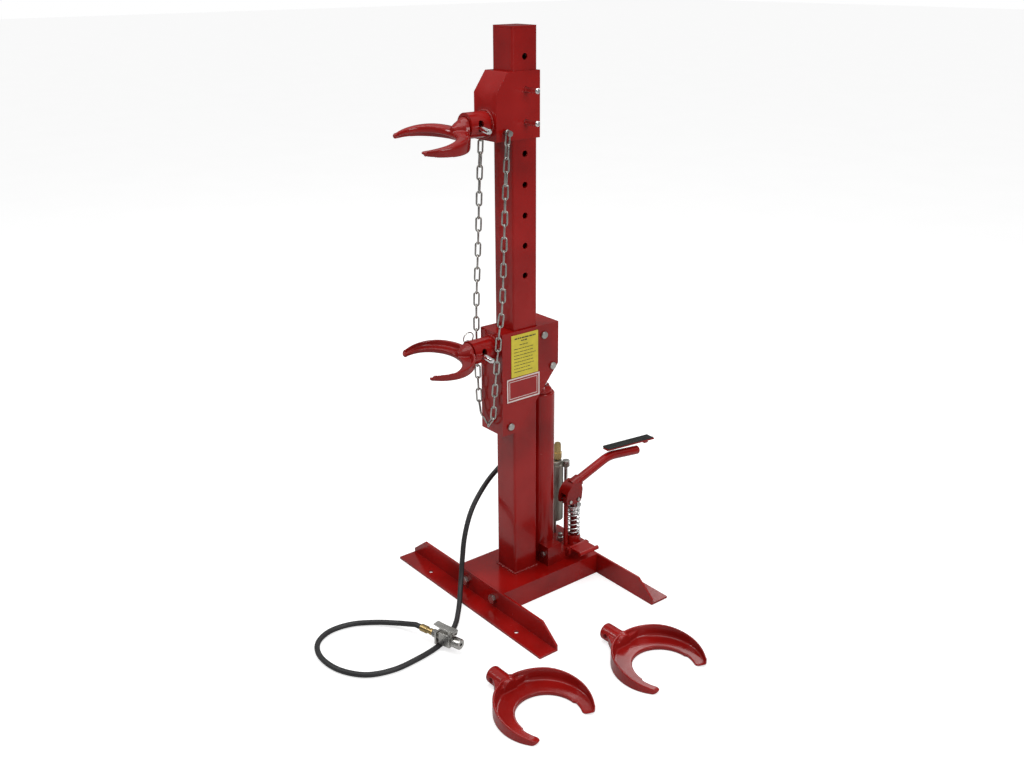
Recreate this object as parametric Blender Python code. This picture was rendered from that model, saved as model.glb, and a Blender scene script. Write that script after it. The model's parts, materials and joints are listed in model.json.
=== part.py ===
"""Strut coil spring compressor: a floor stand whose air and foot driven ram lifts the lower yoke.

Metres, +Z up, floor at z = 0. The yokes reach toward -Y and the feet lie along X. Every piece is
drawn in the column's own frame, whose origin is the foot of the column's axis, and hangs on the
empty "stand", which puts the middle of the whole kit over the world origin.
"""

import math

import bmesh
import bpy
from mathutils import Matrix, Vector

# The column's axis, from the middle of the box round the stand and its two spare yokes
COLUMN_X, COLUMN_Y = -0.1188, -0.0188

# Clearances
GAP = 0.0003  # between pieces that bear on each other
FIT = 0.0003  # round a pin or bolt in its hole

# Column
COLUMN_HALF, COLUMN_WALL, COLUMN_CORNER = 0.032, 0.004, 0.005
COLUMN_TOP, CAP_THICK = 1.2497, 0.004
HOLE_LOW, HOLE_PITCH, HOLE_COUNT, HOLE_R = 0.7486, 0.0638, 8, 0.0068
PASSAGE_HALF = 0.0328  # square way through both carriages

# Base channel between two angle feet
BASE_HALF, BASE_HEIGHT, BASE_WALL = 0.0825, 0.050, 0.005
BASE_FRONT, BASE_REAR = -0.1038, 0.1741
FOOT_HALF, FOOT_TOE, FOOT_THICK = 0.266, 0.0487, 0.005
FOOT_TIP_HEIGHT, FOOT_SLOPE_RUN = 0.0138, 0.0465
FOOT_HOLE_X, FOOT_HOLE_R = 0.162, 0.0055
FOOT_BOLT_X, FOOT_BOLT_Z, FOOT_BOLT_R = 0.051, 0.025, 0.006

# Upper carriage, pinned to the column
UPPER_HALF, UPPER_LOW, UPPER_HIGH = 0.0365, 1.034, 1.168
UPPER_REAR, UPPER_FRONT, UPPER_BROW = 0.0356, -0.0757, (-0.047, 1.127)
PLATE = 0.006
CARRIAGE_PIN_R, CARRIAGE_PIN_HOLES = 0.006, (5, 6)
CARRIAGE_PIN_ENDS = (-0.046, 0.075)
CHAIN_BOLT_Y, CHAIN_BOLT_Z, CHAIN_BOLT_R = -0.0540, 1.0510, 0.004

# Yoke sockets and shanks
SOCKET_R, SOCKET_BORE, SOCKET_END = 0.026, 0.0190, -0.1262
SHANK_R, SHANK_INNER_END = 0.0182, -0.0405
YOKE_PIN_R, YOKE_PIN_Y, YOKE_PIN_ENDS = 0.006, -0.104, (-0.040, 0.054)
UPPER_SOCKET_Z, LOWER_SOCKET_Z = 1.0673, 0.595
ROCK = math.radians(9)  # how far both yokes stand rocked, right side down
UPPER_DROOP = math.radians(2.5)  # the upper yoke's tips hang this much below its shank
SLOT_HALF = 0.0052  # travel of the pin in the socket's slots, each way

# Lower carriage, lifted by the ram
LOWER_HALF, LOWER_SIDE = 0.0375, 0.0045
LOWER_LOW, LOWER_HIGH, LOWER_FRONT, LOWER_REAR = 0.401, 0.632, -0.067, 0.088
LOWER_REAR_LOW, LOWER_TOE = 0.536, -0.026
ROLLER_R, ROLLER_HALF, AXLE_R = 0.0142, 0.028, 0.006
REAR_AXLE, FRONT_AXLE, CLEVIS = (0.0466, 0.609), (-0.0466, 0.4195), (0.071, 0.5335)

# Ram
RAM_Y, RAM_R, RAM_BORE, RAM_LOW, RAM_HIGH = 0.071, 0.0300, 0.0138, 0.0723, 0.462
ROD_R, ROD_LOW, ROD_HIGH, GLAND_HIGH = 0.0133, 0.0846, 0.552, 0.478

# Pump unit behind the ram
BLOCK_HALF, BLOCK_FRONT, BLOCK_STEP, BLOCK_REAR = 0.055, 0.047, 0.086, 0.170
BLOCK_LOW, BLOCK_HIGH, BLOCK_EAR_HIGH, VALVE_LUG_LEFT = BASE_HEIGHT + GAP, 0.072, 0.097, 0.022
PUMP_X, PUMP_Y, FULCRUM_Y, FULCRUM_Z = 0.034, 0.1425, 0.1185, 0.190
BARREL_R, BARREL_HIGH = 0.0172, 0.094
COLLAR_R, COLLAR_NECK_R, COLLAR_NECK_LOW, COLLAR_LOW, COLLAR_HIGH = 0.0175, 0.0116, 0.150, 0.168, 0.171
SPRING_R, SPRING_WIRE, SPRING_TURNS = 0.0140, 0.0016, 7
CHEEK_INNER, CHEEK_OUTER, LINK_PIN_R = 0.0095, 0.0155, 0.004
LEVER_R, LEVER_BORE = 0.0105, 0.0085
LEVER_ROOT, LEVER_BEND, LEVER_END = (0.1400, 0.2240), (0.250, 0.2630), (0.344, 0.2520)
PEDAL_FRONT, PEDAL_REAR, PEDAL_Z, PEDAL_HALF = 0.240, 0.394, 0.2745, 0.0090
PEDAL_SLOPE = math.radians(-4.2)

# Release pedal on the pump block
RELEASE_X, RELEASE_Z, RELEASE_TIP_X = 0.0625, 0.0790, 0.101
RELEASE_Y = (0.1000, 0.1610)

# Air motor
MOTOR_X, MOTOR_Y, MOTOR_R, MOTOR_LOW, MOTOR_HIGH = -0.033, 0.139, 0.0215, 0.110, 0.246
MOTOR_EAR_HIGH, MOTOR_CAP_HIGH, TIE_OFFSET, TIE_R = 0.254, 0.262, (0.0185, 0.0205), 0.0042
INLET_X, INLET_Y, INLET_HIGH = -0.030, 0.1465, 0.304

# Chain between the chain bolts, hanging in front of the lower carriage
CHAIN_R = 0.006

# Air hose and the hand valve on its end
HOSE_R = 0.0058
VALVE_AT, VALVE_TURN = Vector((0.1130, -0.2820, 0.0265)), math.atan2(0.254, 0.967)

# Spare yokes on the floor
SPARE_SHANK_X = -0.0135
SPARES = (("spare_yoke_1", 0.4067, -0.2587, 0.0149), ("spare_yoke_2", 0.4375, 0.0230, 0.0243))

RED = ((0.33, 0.008, 0.010), 0.25, 0.0)
DARK_RED = ((0.24, 0.006, 0.008), 0.3, 0.0)
ZINC = ((0.62, 0.62, 0.63), 0.25, 1.0)
STEEL = ((0.45, 0.45, 0.46), 0.35, 1.0)
CHROME = ((0.80, 0.80, 0.82), 0.10, 1.0)
ALUMINIUM = ((0.42, 0.41, 0.38), 0.45, 1.0)
BRASS = ((0.55, 0.40, 0.16), 0.3, 1.0)
RUBBER = ((0.015, 0.015, 0.016), 0.6, 0.0)
PALE = ((0.75, 0.72, 0.70), 0.3, 0.0)
YELLOW = ((0.80, 0.66, 0.10), 0.4, 0.0)


# ---------------------------------------------------------------- scene and materials
for old in list(bpy.data.objects):
    bpy.data.objects.remove(old, do_unlink=True)


def material(name, finish):
    """A painted, plated or rubber finish: colour, roughness, metallic."""
    colour, roughness, metallic = finish
    made = bpy.data.materials.new(name)
    made.use_nodes = True
    shader = made.node_tree.nodes["Principled BSDF"]
    shader.inputs["Base Color"].default_value = (*colour, 1)
    shader.inputs["Roughness"].default_value = roughness
    shader.inputs["Metallic"].default_value = metallic
    return made


def empty(name, at=(0, 0, 0), parent=None, turn=(0, 0, 0)):
    made = bpy.data.objects.new(name, None)
    made.location = at
    made.rotation_euler = turn
    made.parent = parent
    bpy.context.collection.objects.link(made)
    return made


STAND = empty("stand", (COLUMN_X, COLUMN_Y, 0))


def piece(name, shape, finish, parent=STAND, pivot=(0, 0, 0)):
    """An object from a bmesh drawn in its parent's frame, with its origin moved to the pivot."""
    bmesh.ops.translate(shape, verts=shape.verts, vec=-Vector(pivot))
    bmesh.ops.recalc_face_normals(shape, faces=shape.faces)
    mesh = bpy.data.meshes.new(name)
    shape.to_mesh(mesh)
    shape.free()
    mesh.shade_smooth()
    mesh.set_sharp_from_angle(angle=math.radians(35))
    made = bpy.data.objects.new(name, mesh)
    made.location = pivot
    made.parent = parent
    bpy.context.collection.objects.link(made)
    if finish:
        mesh.materials.append(material(name, finish))
    return made


def combine(target, tool, operation):
    """Add a Boolean of the tool's shape to the target; the tool stays as a hidden guide."""
    tool.hide_render = True
    tool.display_type = "WIRE"
    step = target.modifiers.new(tool.name, "BOOLEAN")
    step.operation = operation
    step.object = tool


def cut(target, shape, label, parent=STAND):
    combine(target, piece(f"{target.name}_{label}", shape, None, parent), "DIFFERENCE")


def join(target, shape, label, parent=STAND):
    combine(target, piece(f"{target.name}_{label}", shape, None, parent), "UNION")


def round_edges(target, width, segments=2, angle=40):
    step = target.modifiers.new("round_edges", "BEVEL")
    step.width = width
    step.segments = segments
    step.limit_method = "ANGLE"
    step.angle_limit = math.radians(angle)


# ---------------------------------------------------------------- shapes
AXES = {"X": (1, 2, 0), "Y": (0, 2, 1), "Z": (0, 1, 2)}


def prism(outline, axis, low, high):
    """The outline, given in the two other axes, extruded along an axis."""
    first, second, along = AXES[axis]
    shape = bmesh.new()
    corners = []
    for a, b in outline:
        place = [0.0, 0.0, 0.0]
        place[first], place[second], place[along] = a, b, low
        corners.append(shape.verts.new(place))
    face = shape.faces.new(corners)
    grown = bmesh.ops.extrude_face_region(shape, geom=[face])
    step = [0.0, 0.0, 0.0]
    step[along] = high - low
    raised = [v for v in grown["geom"] if isinstance(v, bmesh.types.BMVert)]
    bmesh.ops.translate(shape, verts=raised, vec=step)
    return shape


def block(x, y, z):
    """A box between pairs of limits."""
    return prism([(x[0], y[0]), (x[1], y[0]), (x[1], y[1]), (x[0], y[1])], "Z", *z)


def rounded_square(half, radius, steps=4):
    outline = []
    for quarter in range(4):
        corner = math.radians(45 + 90 * quarter)
        cx = math.copysign(half - radius, math.cos(corner))
        cy = math.copysign(half - radius, math.sin(corner))
        for k in range(steps + 1):
            angle = math.radians(90 * quarter + 90 * k / steps)
            outline.append((cx + radius * math.cos(angle), cy + radius * math.sin(angle)))
    return outline


def polygon(radius, sides, turn=0.0):
    angles = [math.tau * k / sides + turn for k in range(sides)]
    return [(radius * math.cos(a), radius * math.sin(a)) for a in angles]


def stadium(centre, radius, half_length, steps=8):
    """A slot outline, long in its second direction."""
    outline = []
    for end in (1, -1):
        for k in range(steps + 1):
            angle = math.pi * k / steps + (0 if end > 0 else math.pi)
            outline.append((centre[0] + radius * math.cos(angle),
                            centre[1] + end * half_length + radius * math.sin(angle)))
    return outline


def loft(shape, rings):
    """Skin a run of equal rings and close both ends."""
    for below, above in zip(rings, rings[1:]):
        for k in range(len(below)):
            n = (k + 1) % len(below)
            shape.faces.new((below[k], below[n], above[n], above[k]))
    shape.faces.new(rings[0])
    shape.faces.new(rings[-1])
    return shape


def turned(profile, sides=24, closed=False):
    """A body turned round Z from (radius, height) pairs, solid unless the profile is closed."""
    shape = bmesh.new()
    rings = []
    for radius, height in profile:
        if radius < 1e-6:
            rings.append([shape.verts.new((0, 0, height))] * sides)
        else:
            rings.append([shape.verts.new((x, y, height)) for x, y in polygon(radius, sides)])
    pairs = list(zip(rings, rings[1:]))
    if closed:
        pairs.append((rings[-1], rings[0]))
    for below, above in pairs:
        for k in range(sides):
            n = (k + 1) % sides
            corners = dict.fromkeys((below[k], below[n], above[n], above[k]))
            if len(corners) > 2:
                shape.faces.new(list(corners))
    if not closed:
        for ring in (rings[0], rings[-1]):
            if ring[0] is not ring[1]:
                shape.faces.new(ring)
    return shape


def placed(shape, at=(0, 0, 0), toward="Z", roll=0.0):
    """Turn a body made along Z to point along an axis or a vector, and move its origin."""
    vectors = {"X": Vector((1, 0, 0)), "Y": Vector((0, 1, 0)), "Z": Vector((0, 0, 1)),
               "-X": Vector((-1, 0, 0)), "-Y": Vector((0, -1, 0))}
    aim = vectors[toward] if isinstance(toward, str) else Vector(toward).normalized()
    turn = aim.to_track_quat("Z", "Y").to_matrix().to_4x4()
    spin = Matrix.Rotation(roll, 4, "Z")
    bmesh.ops.transform(shape, matrix=Matrix.Translation(at) @ turn @ spin, verts=shape.verts)
    return shape


def rod(radius, start, end, sides=16):
    """A round bar between two points."""
    start, end = Vector(start), Vector(end)
    return placed(turned([(radius, 0), (radius, (end - start).length)], sides), start, end - start)


def bent_bar(points, radius, sides=20):
    """A round bar through points that share one X."""
    shape = bmesh.new()
    rings = []
    for k, place in enumerate(points):
        ahead = (points[min(k + 1, len(points) - 1)] - points[max(k - 1, 0)]).normalized()
        up = Vector((1, 0, 0)).cross(ahead)
        rings.append([shape.verts.new(place + Vector((x, 0, 0)) + up * y)
                      for x, y in polygon(radius, sides)])
    return loft(shape, rings)


def bolt(shank_r, length, head_flats, head_high, tip=0.001, sides=12):
    """A hex bolt: head under z = 0, shank up along Z."""
    def across(angle):
        return head_flats / 2 / math.cos((angle + math.pi / 6) % (math.pi / 3) - math.pi / 6)

    shape = bmesh.new()
    rings = []
    for radius, height in ((None, -head_high), (None, 0), (shank_r, 0), (shank_r, length - tip),
                           (shank_r - tip, length)):
        angles = [math.tau * k / sides for k in range(sides)]
        reach = [radius or across(angle) for angle in angles]
        rings.append([shape.verts.new((r * math.cos(a), r * math.sin(a), height))
                      for r, a in zip(reach, angles)])
    return loft(shape, rings)


def smooth_route(points, spacing):
    """Points about a spacing apart on a centripetal Catmull-Rom curve through a route."""
    route = [Vector(p) for p in points]
    route = [2 * route[0] - route[1]] + route + [2 * route[-1] - route[-2]]
    found = []
    for a, b, c, d in zip(route, route[1:], route[2:], route[3:]):
        steps = max(2, round((c - b).length / spacing))
        knots = [0.0]
        for p, q in ((a, b), (b, c), (c, d)):
            knots.append(knots[-1] + math.sqrt((q - p).length))
        for k in range(steps):
            t = knots[1] + (knots[2] - knots[1]) * k / steps
            found.append(catmull(a, b, c, d, knots, t))
    return found + [route[-2]]


def catmull(a, b, c, d, knots, t):
    """The point at parameter t of one centripetal Catmull-Rom span."""
    def mix(p, q, lower, upper):
        return (p * (knots[upper] - t) + q * (t - knots[lower])) / (knots[upper] - knots[lower])

    ab, bc, cd = mix(a, b, 0, 1), mix(b, c, 1, 2), mix(c, d, 2, 3)
    return mix(mix(ab, bc, 0, 2), mix(bc, cd, 1, 3), 1, 2)


def tube(name, points, radius, finish, parent=STAND, resolution=1):
    """A solid cord or bar along a run of points, as a curve with round section and flat ends."""
    curve = bpy.data.curves.new(name, "CURVE")
    curve.dimensions = "3D"
    curve.bevel_depth = radius
    curve.bevel_resolution = resolution
    curve.use_fill_caps = True
    spline = curve.splines.new("POLY")
    spline.points.add(len(points) - 1)
    for point, place in zip(spline.points, points):
        point.co = (*place, 1)
    made = bpy.data.objects.new(name, curve)
    made.parent = parent
    bpy.context.collection.objects.link(made)
    curve.materials.append(material(name, finish))
    return made


# ---------------------------------------------------------------- base and column
def base_channel():
    front, rear = BASE_FRONT + GAP, BASE_REAR - GAP
    made = piece("base_channel", block((-BASE_HALF, BASE_HALF), (front, rear), (0, BASE_HEIGHT)), RED)
    inside = BASE_HALF - BASE_WALL
    cut(made, block((-inside, inside), (front + PLATE, rear - PLATE), (-0.01, BASE_HEIGHT - BASE_WALL)),
        "hollow")
    for y, label in ((front, "front"), (rear, "rear")):
        for x in (-FOOT_BOLT_X, FOOT_BOLT_X):
            cut(made, rod(FOOT_BOLT_R + FIT, (x, y - 0.01, FOOT_BOLT_Z), (x, y + 0.01, FOOT_BOLT_Z)),
                f"{label}_thread_{x:+.3f}")


def foot(name, heel, side):
    """An angle foot: its upright flange bears on the channel, its toe points away (side -1 or 1)."""
    outline = [(heel, 0), (heel, BASE_HEIGHT), (heel + side * FOOT_THICK, BASE_HEIGHT),
               (heel + side * FOOT_THICK, FOOT_THICK), (heel + side * FOOT_TOE, FOOT_THICK),
               (heel + side * FOOT_TOE, 0)]
    made = piece(name, prism(outline, "X", -FOOT_HALF, FOOT_HALF), RED)
    rise = BASE_HEIGHT - FOOT_TIP_HEIGHT
    for end in (-1, 1):
        start = end * (FOOT_HALF - 1.1 * FOOT_SLOPE_RUN)
        stop = end * (FOOT_HALF + 0.1 * FOOT_SLOPE_RUN)
        corner = [(start, BASE_HEIGHT + 0.1 * rise), (stop, BASE_HEIGHT + 0.1 * rise),
                  (stop, FOOT_TIP_HEIGHT - 0.1 * rise)]
        cut(made, prism(corner, "Y", heel - 0.01, heel + 0.01), f"slope_{end:+d}")
        hole_y = heel + side * (FOOT_TOE + FOOT_THICK) * 0.53
        cut(made, rod(FOOT_HOLE_R, (end * FOOT_HOLE_X, hole_y, -0.01), (end * FOOT_HOLE_X, hole_y, 0.02)),
            f"anchor_hole_{end:+d}")
        x = end * FOOT_BOLT_X
        cut(made, rod(FOOT_BOLT_R + FIT, (x, heel - 0.01, FOOT_BOLT_Z), (x, heel + 0.01, FOOT_BOLT_Z)),
            f"bolt_hole_{end:+d}")
        outer = heel + side * (FOOT_THICK + GAP)
        shape = placed(bolt(FOOT_BOLT_R, 0.028, 0.019, 0.0075), (x, outer, FOOT_BOLT_Z),
                       "Y" if side < 0 else "-Y", math.radians(17))
        hand = "left" if end < 0 else "right"
        piece(f"{name}_bolt_{hand}", shape, ZINC)


def column():
    made = piece("column", prism(rounded_square(COLUMN_HALF, COLUMN_CORNER), "Z",
                                 BASE_HEIGHT + GAP, COLUMN_TOP), RED)
    bore = rounded_square(COLUMN_HALF - COLUMN_WALL, COLUMN_CORNER - 0.003)
    cut(made, prism(bore, "Z", 0, COLUMN_TOP + 0.1), "bore")
    holes = bmesh.new()
    for k in range(HOLE_COUNT):
        z = HOLE_LOW + k * HOLE_PITCH
        one = rod(HOLE_R, (-0.04, 0, z), (0.04, 0, z), 12)
        hole = bpy.data.meshes.new("pin_hole")
        one.to_mesh(hole)
        holes.from_mesh(hole)
        one.free()
    cut(made, holes, "pin_holes")
    spigot = COLUMN_HALF - COLUMN_WALL - GAP
    cap = piece("column_cap", prism(rounded_square(COLUMN_HALF, COLUMN_CORNER), "Z",
                                    COLUMN_TOP + GAP, COLUMN_TOP + GAP + CAP_THICK), PALE)
    join(cap, prism(rounded_square(spigot, 0.0018), "Z", COLUMN_TOP - 0.015, COLUMN_TOP + 0.002), "spigot")


# ---------------------------------------------------------------- carriages
def socket(target, root, z):
    """A yoke socket on a carriage's front plate, with slots that let the yoke pin rock."""
    join(target, rod(SOCKET_R, (0, root, z), (0, SOCKET_END, z), 28), "socket")
    cut(target, rod(SOCKET_BORE, (0, root + 0.010, z), (0, SOCKET_END - 0.01, z), 28), "socket_bore")
    slot = stadium((YOKE_PIN_Y, z), YOKE_PIN_R + FIT, SLOT_HALF)
    cut(target, prism(slot, "X", -0.04, 0.04), "pin_slots")


def upper_carriage():
    brow_y, brow_z = UPPER_BROW
    outline = [(UPPER_REAR, UPPER_LOW), (UPPER_REAR, UPPER_HIGH), (brow_y, UPPER_HIGH),
               (UPPER_FRONT, brow_z), (UPPER_FRONT, UPPER_LOW)]
    made = piece("upper_carriage", prism(outline, "X", -UPPER_HALF, UPPER_HALF), RED)
    cut(made, block((-PASSAGE_HALF, PASSAGE_HALF), (-PASSAGE_HALF, PASSAGE_HALF), (1.0, 1.2)), "passage")
    guide = -PASSAGE_HALF - PLATE
    hollow = [(guide, 1.0), (guide, UPPER_HIGH - PLATE), (brow_y + 0.003, UPPER_HIGH - PLATE),
              (UPPER_FRONT + PLATE, brow_z - 0.002), (UPPER_FRONT + PLATE, 1.0)]
    cut(made, prism(hollow, "X", -UPPER_HALF + PLATE, UPPER_HALF - PLATE), "nose_hollow")
    socket(made, UPPER_FRONT + 0.003, UPPER_SOCKET_Z)
    for k in CARRIAGE_PIN_HOLES:
        z = HOLE_LOW + k * HOLE_PITCH
        cut(made, rod(CARRIAGE_PIN_R + FIT, (-0.05, 0, z), (0.05, 0, z)), f"pin_hole_{k + 1}")
    cut(made, rod(CHAIN_BOLT_R + FIT, (-0.05, CHAIN_BOLT_Y, CHAIN_BOLT_Z), (0.05, CHAIN_BOLT_Y, CHAIN_BOLT_Z)),
        "chain_bolt_holes")
    for side, hand in ((-1, "left"), (1, "right")):
        shape = placed(bolt(CHAIN_BOLT_R, 0.0215, 0.011, 0.004), (side * 0.0505, CHAIN_BOLT_Y, CHAIN_BOLT_Z),
                       "-X" if side > 0 else "X", math.radians(11))
        piece(f"chain_bolt_{hand}", shape, ZINC)


def carriage_pins():
    tail, tip = CARRIAGE_PIN_ENDS
    for k, hand in zip(CARRIAGE_PIN_HOLES, ("lower", "upper")):
        profile = [(0.0095, 0), (0.0110, 0.0015), (0.0110, 0.0075), (CARRIAGE_PIN_R, 0.0078),
                   (CARRIAGE_PIN_R, tip - tail - 0.0025), (CARRIAGE_PIN_R - 0.0022, tip - tail)]
        at = (tail, 0, HOLE_LOW + k * HOLE_PITCH)
        piece(f"carriage_pin_{hand}", placed(turned(profile, 16), at, "X"), CHROME, pivot=at)


def lower_carriage(lift):
    outline = [(LOWER_FRONT, LOWER_LOW), (LOWER_FRONT, LOWER_HIGH), (LOWER_REAR, LOWER_HIGH),
               (LOWER_REAR, LOWER_REAR_LOW), (LOWER_TOE, LOWER_LOW)]
    made = piece("lower_carriage", prism(outline, "X", -LOWER_HALF, LOWER_HALF), RED, lift)
    inner = LOWER_HALF - LOWER_SIDE
    cut(made, block((-inner, inner), (LOWER_FRONT + PLATE, 0.12), (0.38, LOWER_HIGH - PLATE)), "hollow", lift)
    cut(made, block((-PASSAGE_HALF, PASSAGE_HALF), (-PASSAGE_HALF, PASSAGE_HALF), (0.61, 0.65)),
        "passage", lift)
    join(made, rod(SOCKET_R, (0, LOWER_FRONT + 0.003, LOWER_SOCKET_Z), (0, SOCKET_END, LOWER_SOCKET_Z), 32),
         "socket", lift)
    cut(made, rod(SOCKET_BORE, (0, LOWER_FRONT + 0.012, LOWER_SOCKET_Z),
                  (0, SOCKET_END - 0.01, LOWER_SOCKET_Z), 32), "socket_bore", lift)
    slot = stadium((YOKE_PIN_Y, LOWER_SOCKET_Z), YOKE_PIN_R + FIT, SLOT_HALF)
    cut(made, prism(slot, "X", -0.04, 0.04), "pin_slots", lift)
    for (y, z), label in ((REAR_AXLE, "rear_axle"), (FRONT_AXLE, "front_axle"), (CLEVIS, "clevis_pin")):
        cut(made, rod(AXLE_R + FIT, (-0.05, y, z), (0.05, y, z)), f"{label}_holes", lift)
        axle = [(0.0070, 0), (0.0082, 0.0012), (0.0082, 0.0050), (AXLE_R, 0.0051), (AXLE_R, 0.0840),
                (AXLE_R - 0.001, 0.0850)]
        start = (LOWER_HALF + 0.0055, y, z)
        piece(label, placed(turned(axle, 16), start, "-X"), ZINC, lift, start)
    for (y, z), label in ((REAR_AXLE, "rear_roller"), (FRONT_AXLE, "front_roller")):
        profile = [(AXLE_R + FIT, -ROLLER_HALF), (ROLLER_R - 0.001, -ROLLER_HALF),
                   (ROLLER_R, -ROLLER_HALF + 0.001), (ROLLER_R, ROLLER_HALF - 0.001),
                   (ROLLER_R - 0.001, ROLLER_HALF), (AXLE_R + FIT, ROLLER_HALF)]
        piece(label, placed(turned(profile, 24, closed=True), (0, y, z), "X"), STEEL, lift, (0, y, z))
    return made


def labels(lift):
    """Two thin plates on the lower carriage's right side."""
    face = LOWER_HALF + GAP
    piece("data_plate", block((face, face + 0.0008), (-0.0434, 0.0298), (0.5300, 0.6245)), YELLOW, lift)
    piece("name_plate", block((face, face + 0.0008), (-0.0565, 0.0345), (0.4748, 0.5290)), RED, lift)


# ---------------------------------------------------------------- yokes
# Across a yoke's arm: 0 at the gap to 1 at the rim, against height from the back to the rim's top
WORKING_SECTION = [(0, 0.26), (0.08, 0.08), (0.28, 0), (0.70, 0), (0.96, 0.16), (1, 0.34), (1, 0.84),
                   (0.93, 1), (0.80, 0.96), (0.70, 0.53), (0.05, 0.52), (0, 0.46)]
SPARE_SECTION = [(0, 0.06), (0.04, 0), (0.96, 0), (1, 0.07), (1, 0.95), (0.97, 1), (0.91, 1), (0.88, 0.60),
                 (0.80, 0.31), (0.04, 0.28), (0, 0.24)]
STEP_ANGLE = 1.72  # past here a spare yoke's arm narrows by a small step


def yoke_shape(ring_r, gap_r, gap_shift, height, taper, back_taper, reach, stretch,
               outline=WORKING_SECTION, step=0.0, sections=18):
    """A tapering open ring round the origin, root toward +Y and opening toward -Y, floor at z = 0.

    reach is how far each arm turns from the root, left then right, in radians; stretch lengthens
    the outer and inner outlines of the arms.
    """
    shape = bmesh.new()
    rings = []
    span = max(reach)

    def section(angle, shrink=1.0, advance=0.0):
        inner_angle = 0.97 * angle
        ease = max(0.0, (abs(angle) / span - 0.35) / 0.65) ** 1.5
        top, back = height * (1 - taper * ease), height * back_taper * ease
        along, inner_along = math.cos(angle), math.cos(inner_angle)
        along *= stretch[0] if along < 0 else 1
        inner_along *= stretch[1] if inner_along < 0 else 1
        outer = Vector((ring_r * math.sin(angle), ring_r * along, 0))
        inner = Vector((gap_r * math.sin(inner_angle), gap_r * inner_along - gap_shift, 0))
        if abs(angle) > STEP_ANGLE:
            inner += (outer - inner).normalized() * step
        across = outer - inner
        ahead = Vector((-across.y, across.x, 0)).normalized() * (-1 if angle > 0 else 1)
        middle = (outer + inner) / 2 + ahead * advance * across.length / 2
        mid_z = (top + back) / 2
        ring = []
        for s, h in outline:
            z = mid_z + (back + h * (top - back) - mid_z) * shrink
            ring.append(shape.verts.new(middle + across * (s - 0.5) * shrink + Vector((0, 0, z))))
        return ring

    for t in (80, 55, 28):
        rings.append(section(-reach[0], math.cos(math.radians(t)), math.sin(math.radians(t))))
    for k in range(sections + 1):
        rings.append(section(-reach[0] + (reach[0] + reach[1]) * k / sections))
    for t in (28, 55, 80):
        rings.append(section(reach[1], math.cos(math.radians(t)), math.sin(math.radians(t))))
    return loft(shape, rings)


def shank_shape(profile, pin_y, axis_z, pin_r, label_object, parent):
    """Join a shank turned round the Y direction to a yoke and drill its pin hole."""
    join(label_object, placed(turned(profile, 22), (0, 0, axis_z), "Y"), "shank", parent)
    cut(label_object, rod(pin_r + FIT, (-0.03, pin_y, axis_z), (0.03, pin_y, axis_z)), "pin_hole", parent)


def working_yoke(name, pivot, ring_z, flipped, reach, pull_toward):
    """A yoke in its socket, with its pin and pull ring, all rocking about the socket's axis."""
    ring_y = -0.2017 - YOKE_PIN_Y
    if flipped:
        shape = yoke_shape(0.0750, 0.0603, 0.0167, 0.0300, 0.15, 0.40, reach, (1.10, 1.16))
        droop = Matrix.Rotation(UPPER_DROOP, 3, "X") @ Matrix.Rotation(math.pi, 3, "Y")
        bmesh.ops.rotate(shape, verts=shape.verts, matrix=droop)
    else:
        shape = yoke_shape(0.0750, 0.0603, 0.0167, 0.0240, 0.36, 0.16, reach, (1.10, 1.16))
    bmesh.ops.translate(shape, verts=shape.verts, vec=(0, ring_y - (0.0010 if flipped else 0), ring_z))
    made = piece(name, shape, RED, pivot)
    root = SOCKET_END - GAP - YOKE_PIN_Y
    hub_z = ring_z + (-0.011 if flipped else 0.011)
    inner_end = SHANK_INNER_END - YOKE_PIN_Y
    stem = [(0, root - 0.016), (0.012, root - 0.014), (0.0175, root - 0.004), (SHANK_R, root),
            (SHANK_R, inner_end - 0.0185), (SHANK_R - 0.0015, inner_end - 0.0170)]
    shank_shape(stem, 0, 0, YOKE_PIN_R, made, pivot)
    hub = [(0, root - 0.019), (0.013, root - 0.0165), (0.0205, root - 0.0085), (0.0230, root - GAP),
           (0.0150, root - GAP)]
    join(made, placed(turned(hub, 22), (0, 0, 0.45 * hub_z), "Y"), "hub", pivot)
    tail, tip = YOKE_PIN_ENDS
    profile = [(0.0080, 0), (0.0090, 0.0010), (0.0090, 0.0080), (YOKE_PIN_R, 0.0082),
               (YOKE_PIN_R, tip - tail - 0.0020), (YOKE_PIN_R - 0.0020, tip - tail)]
    piece(f"{name}_pin", placed(turned(profile, 16), (tail, 0, 0), "X"), CHROME, pivot)
    turns = [math.tau * k / 16 for k in range(16)]
    ring = [(tail - 0.0024, pull_toward[0] + 0.0128 * math.cos(a), pull_toward[1] + 0.0128 * math.sin(a))
            for a in turns]
    pull = tube(f"{name}_pin_ring", ring, 0.0014, ZINC, pivot)
    pull.data.splines[0].use_cyclic_u = True
    pull.data.use_fill_caps = False


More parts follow.
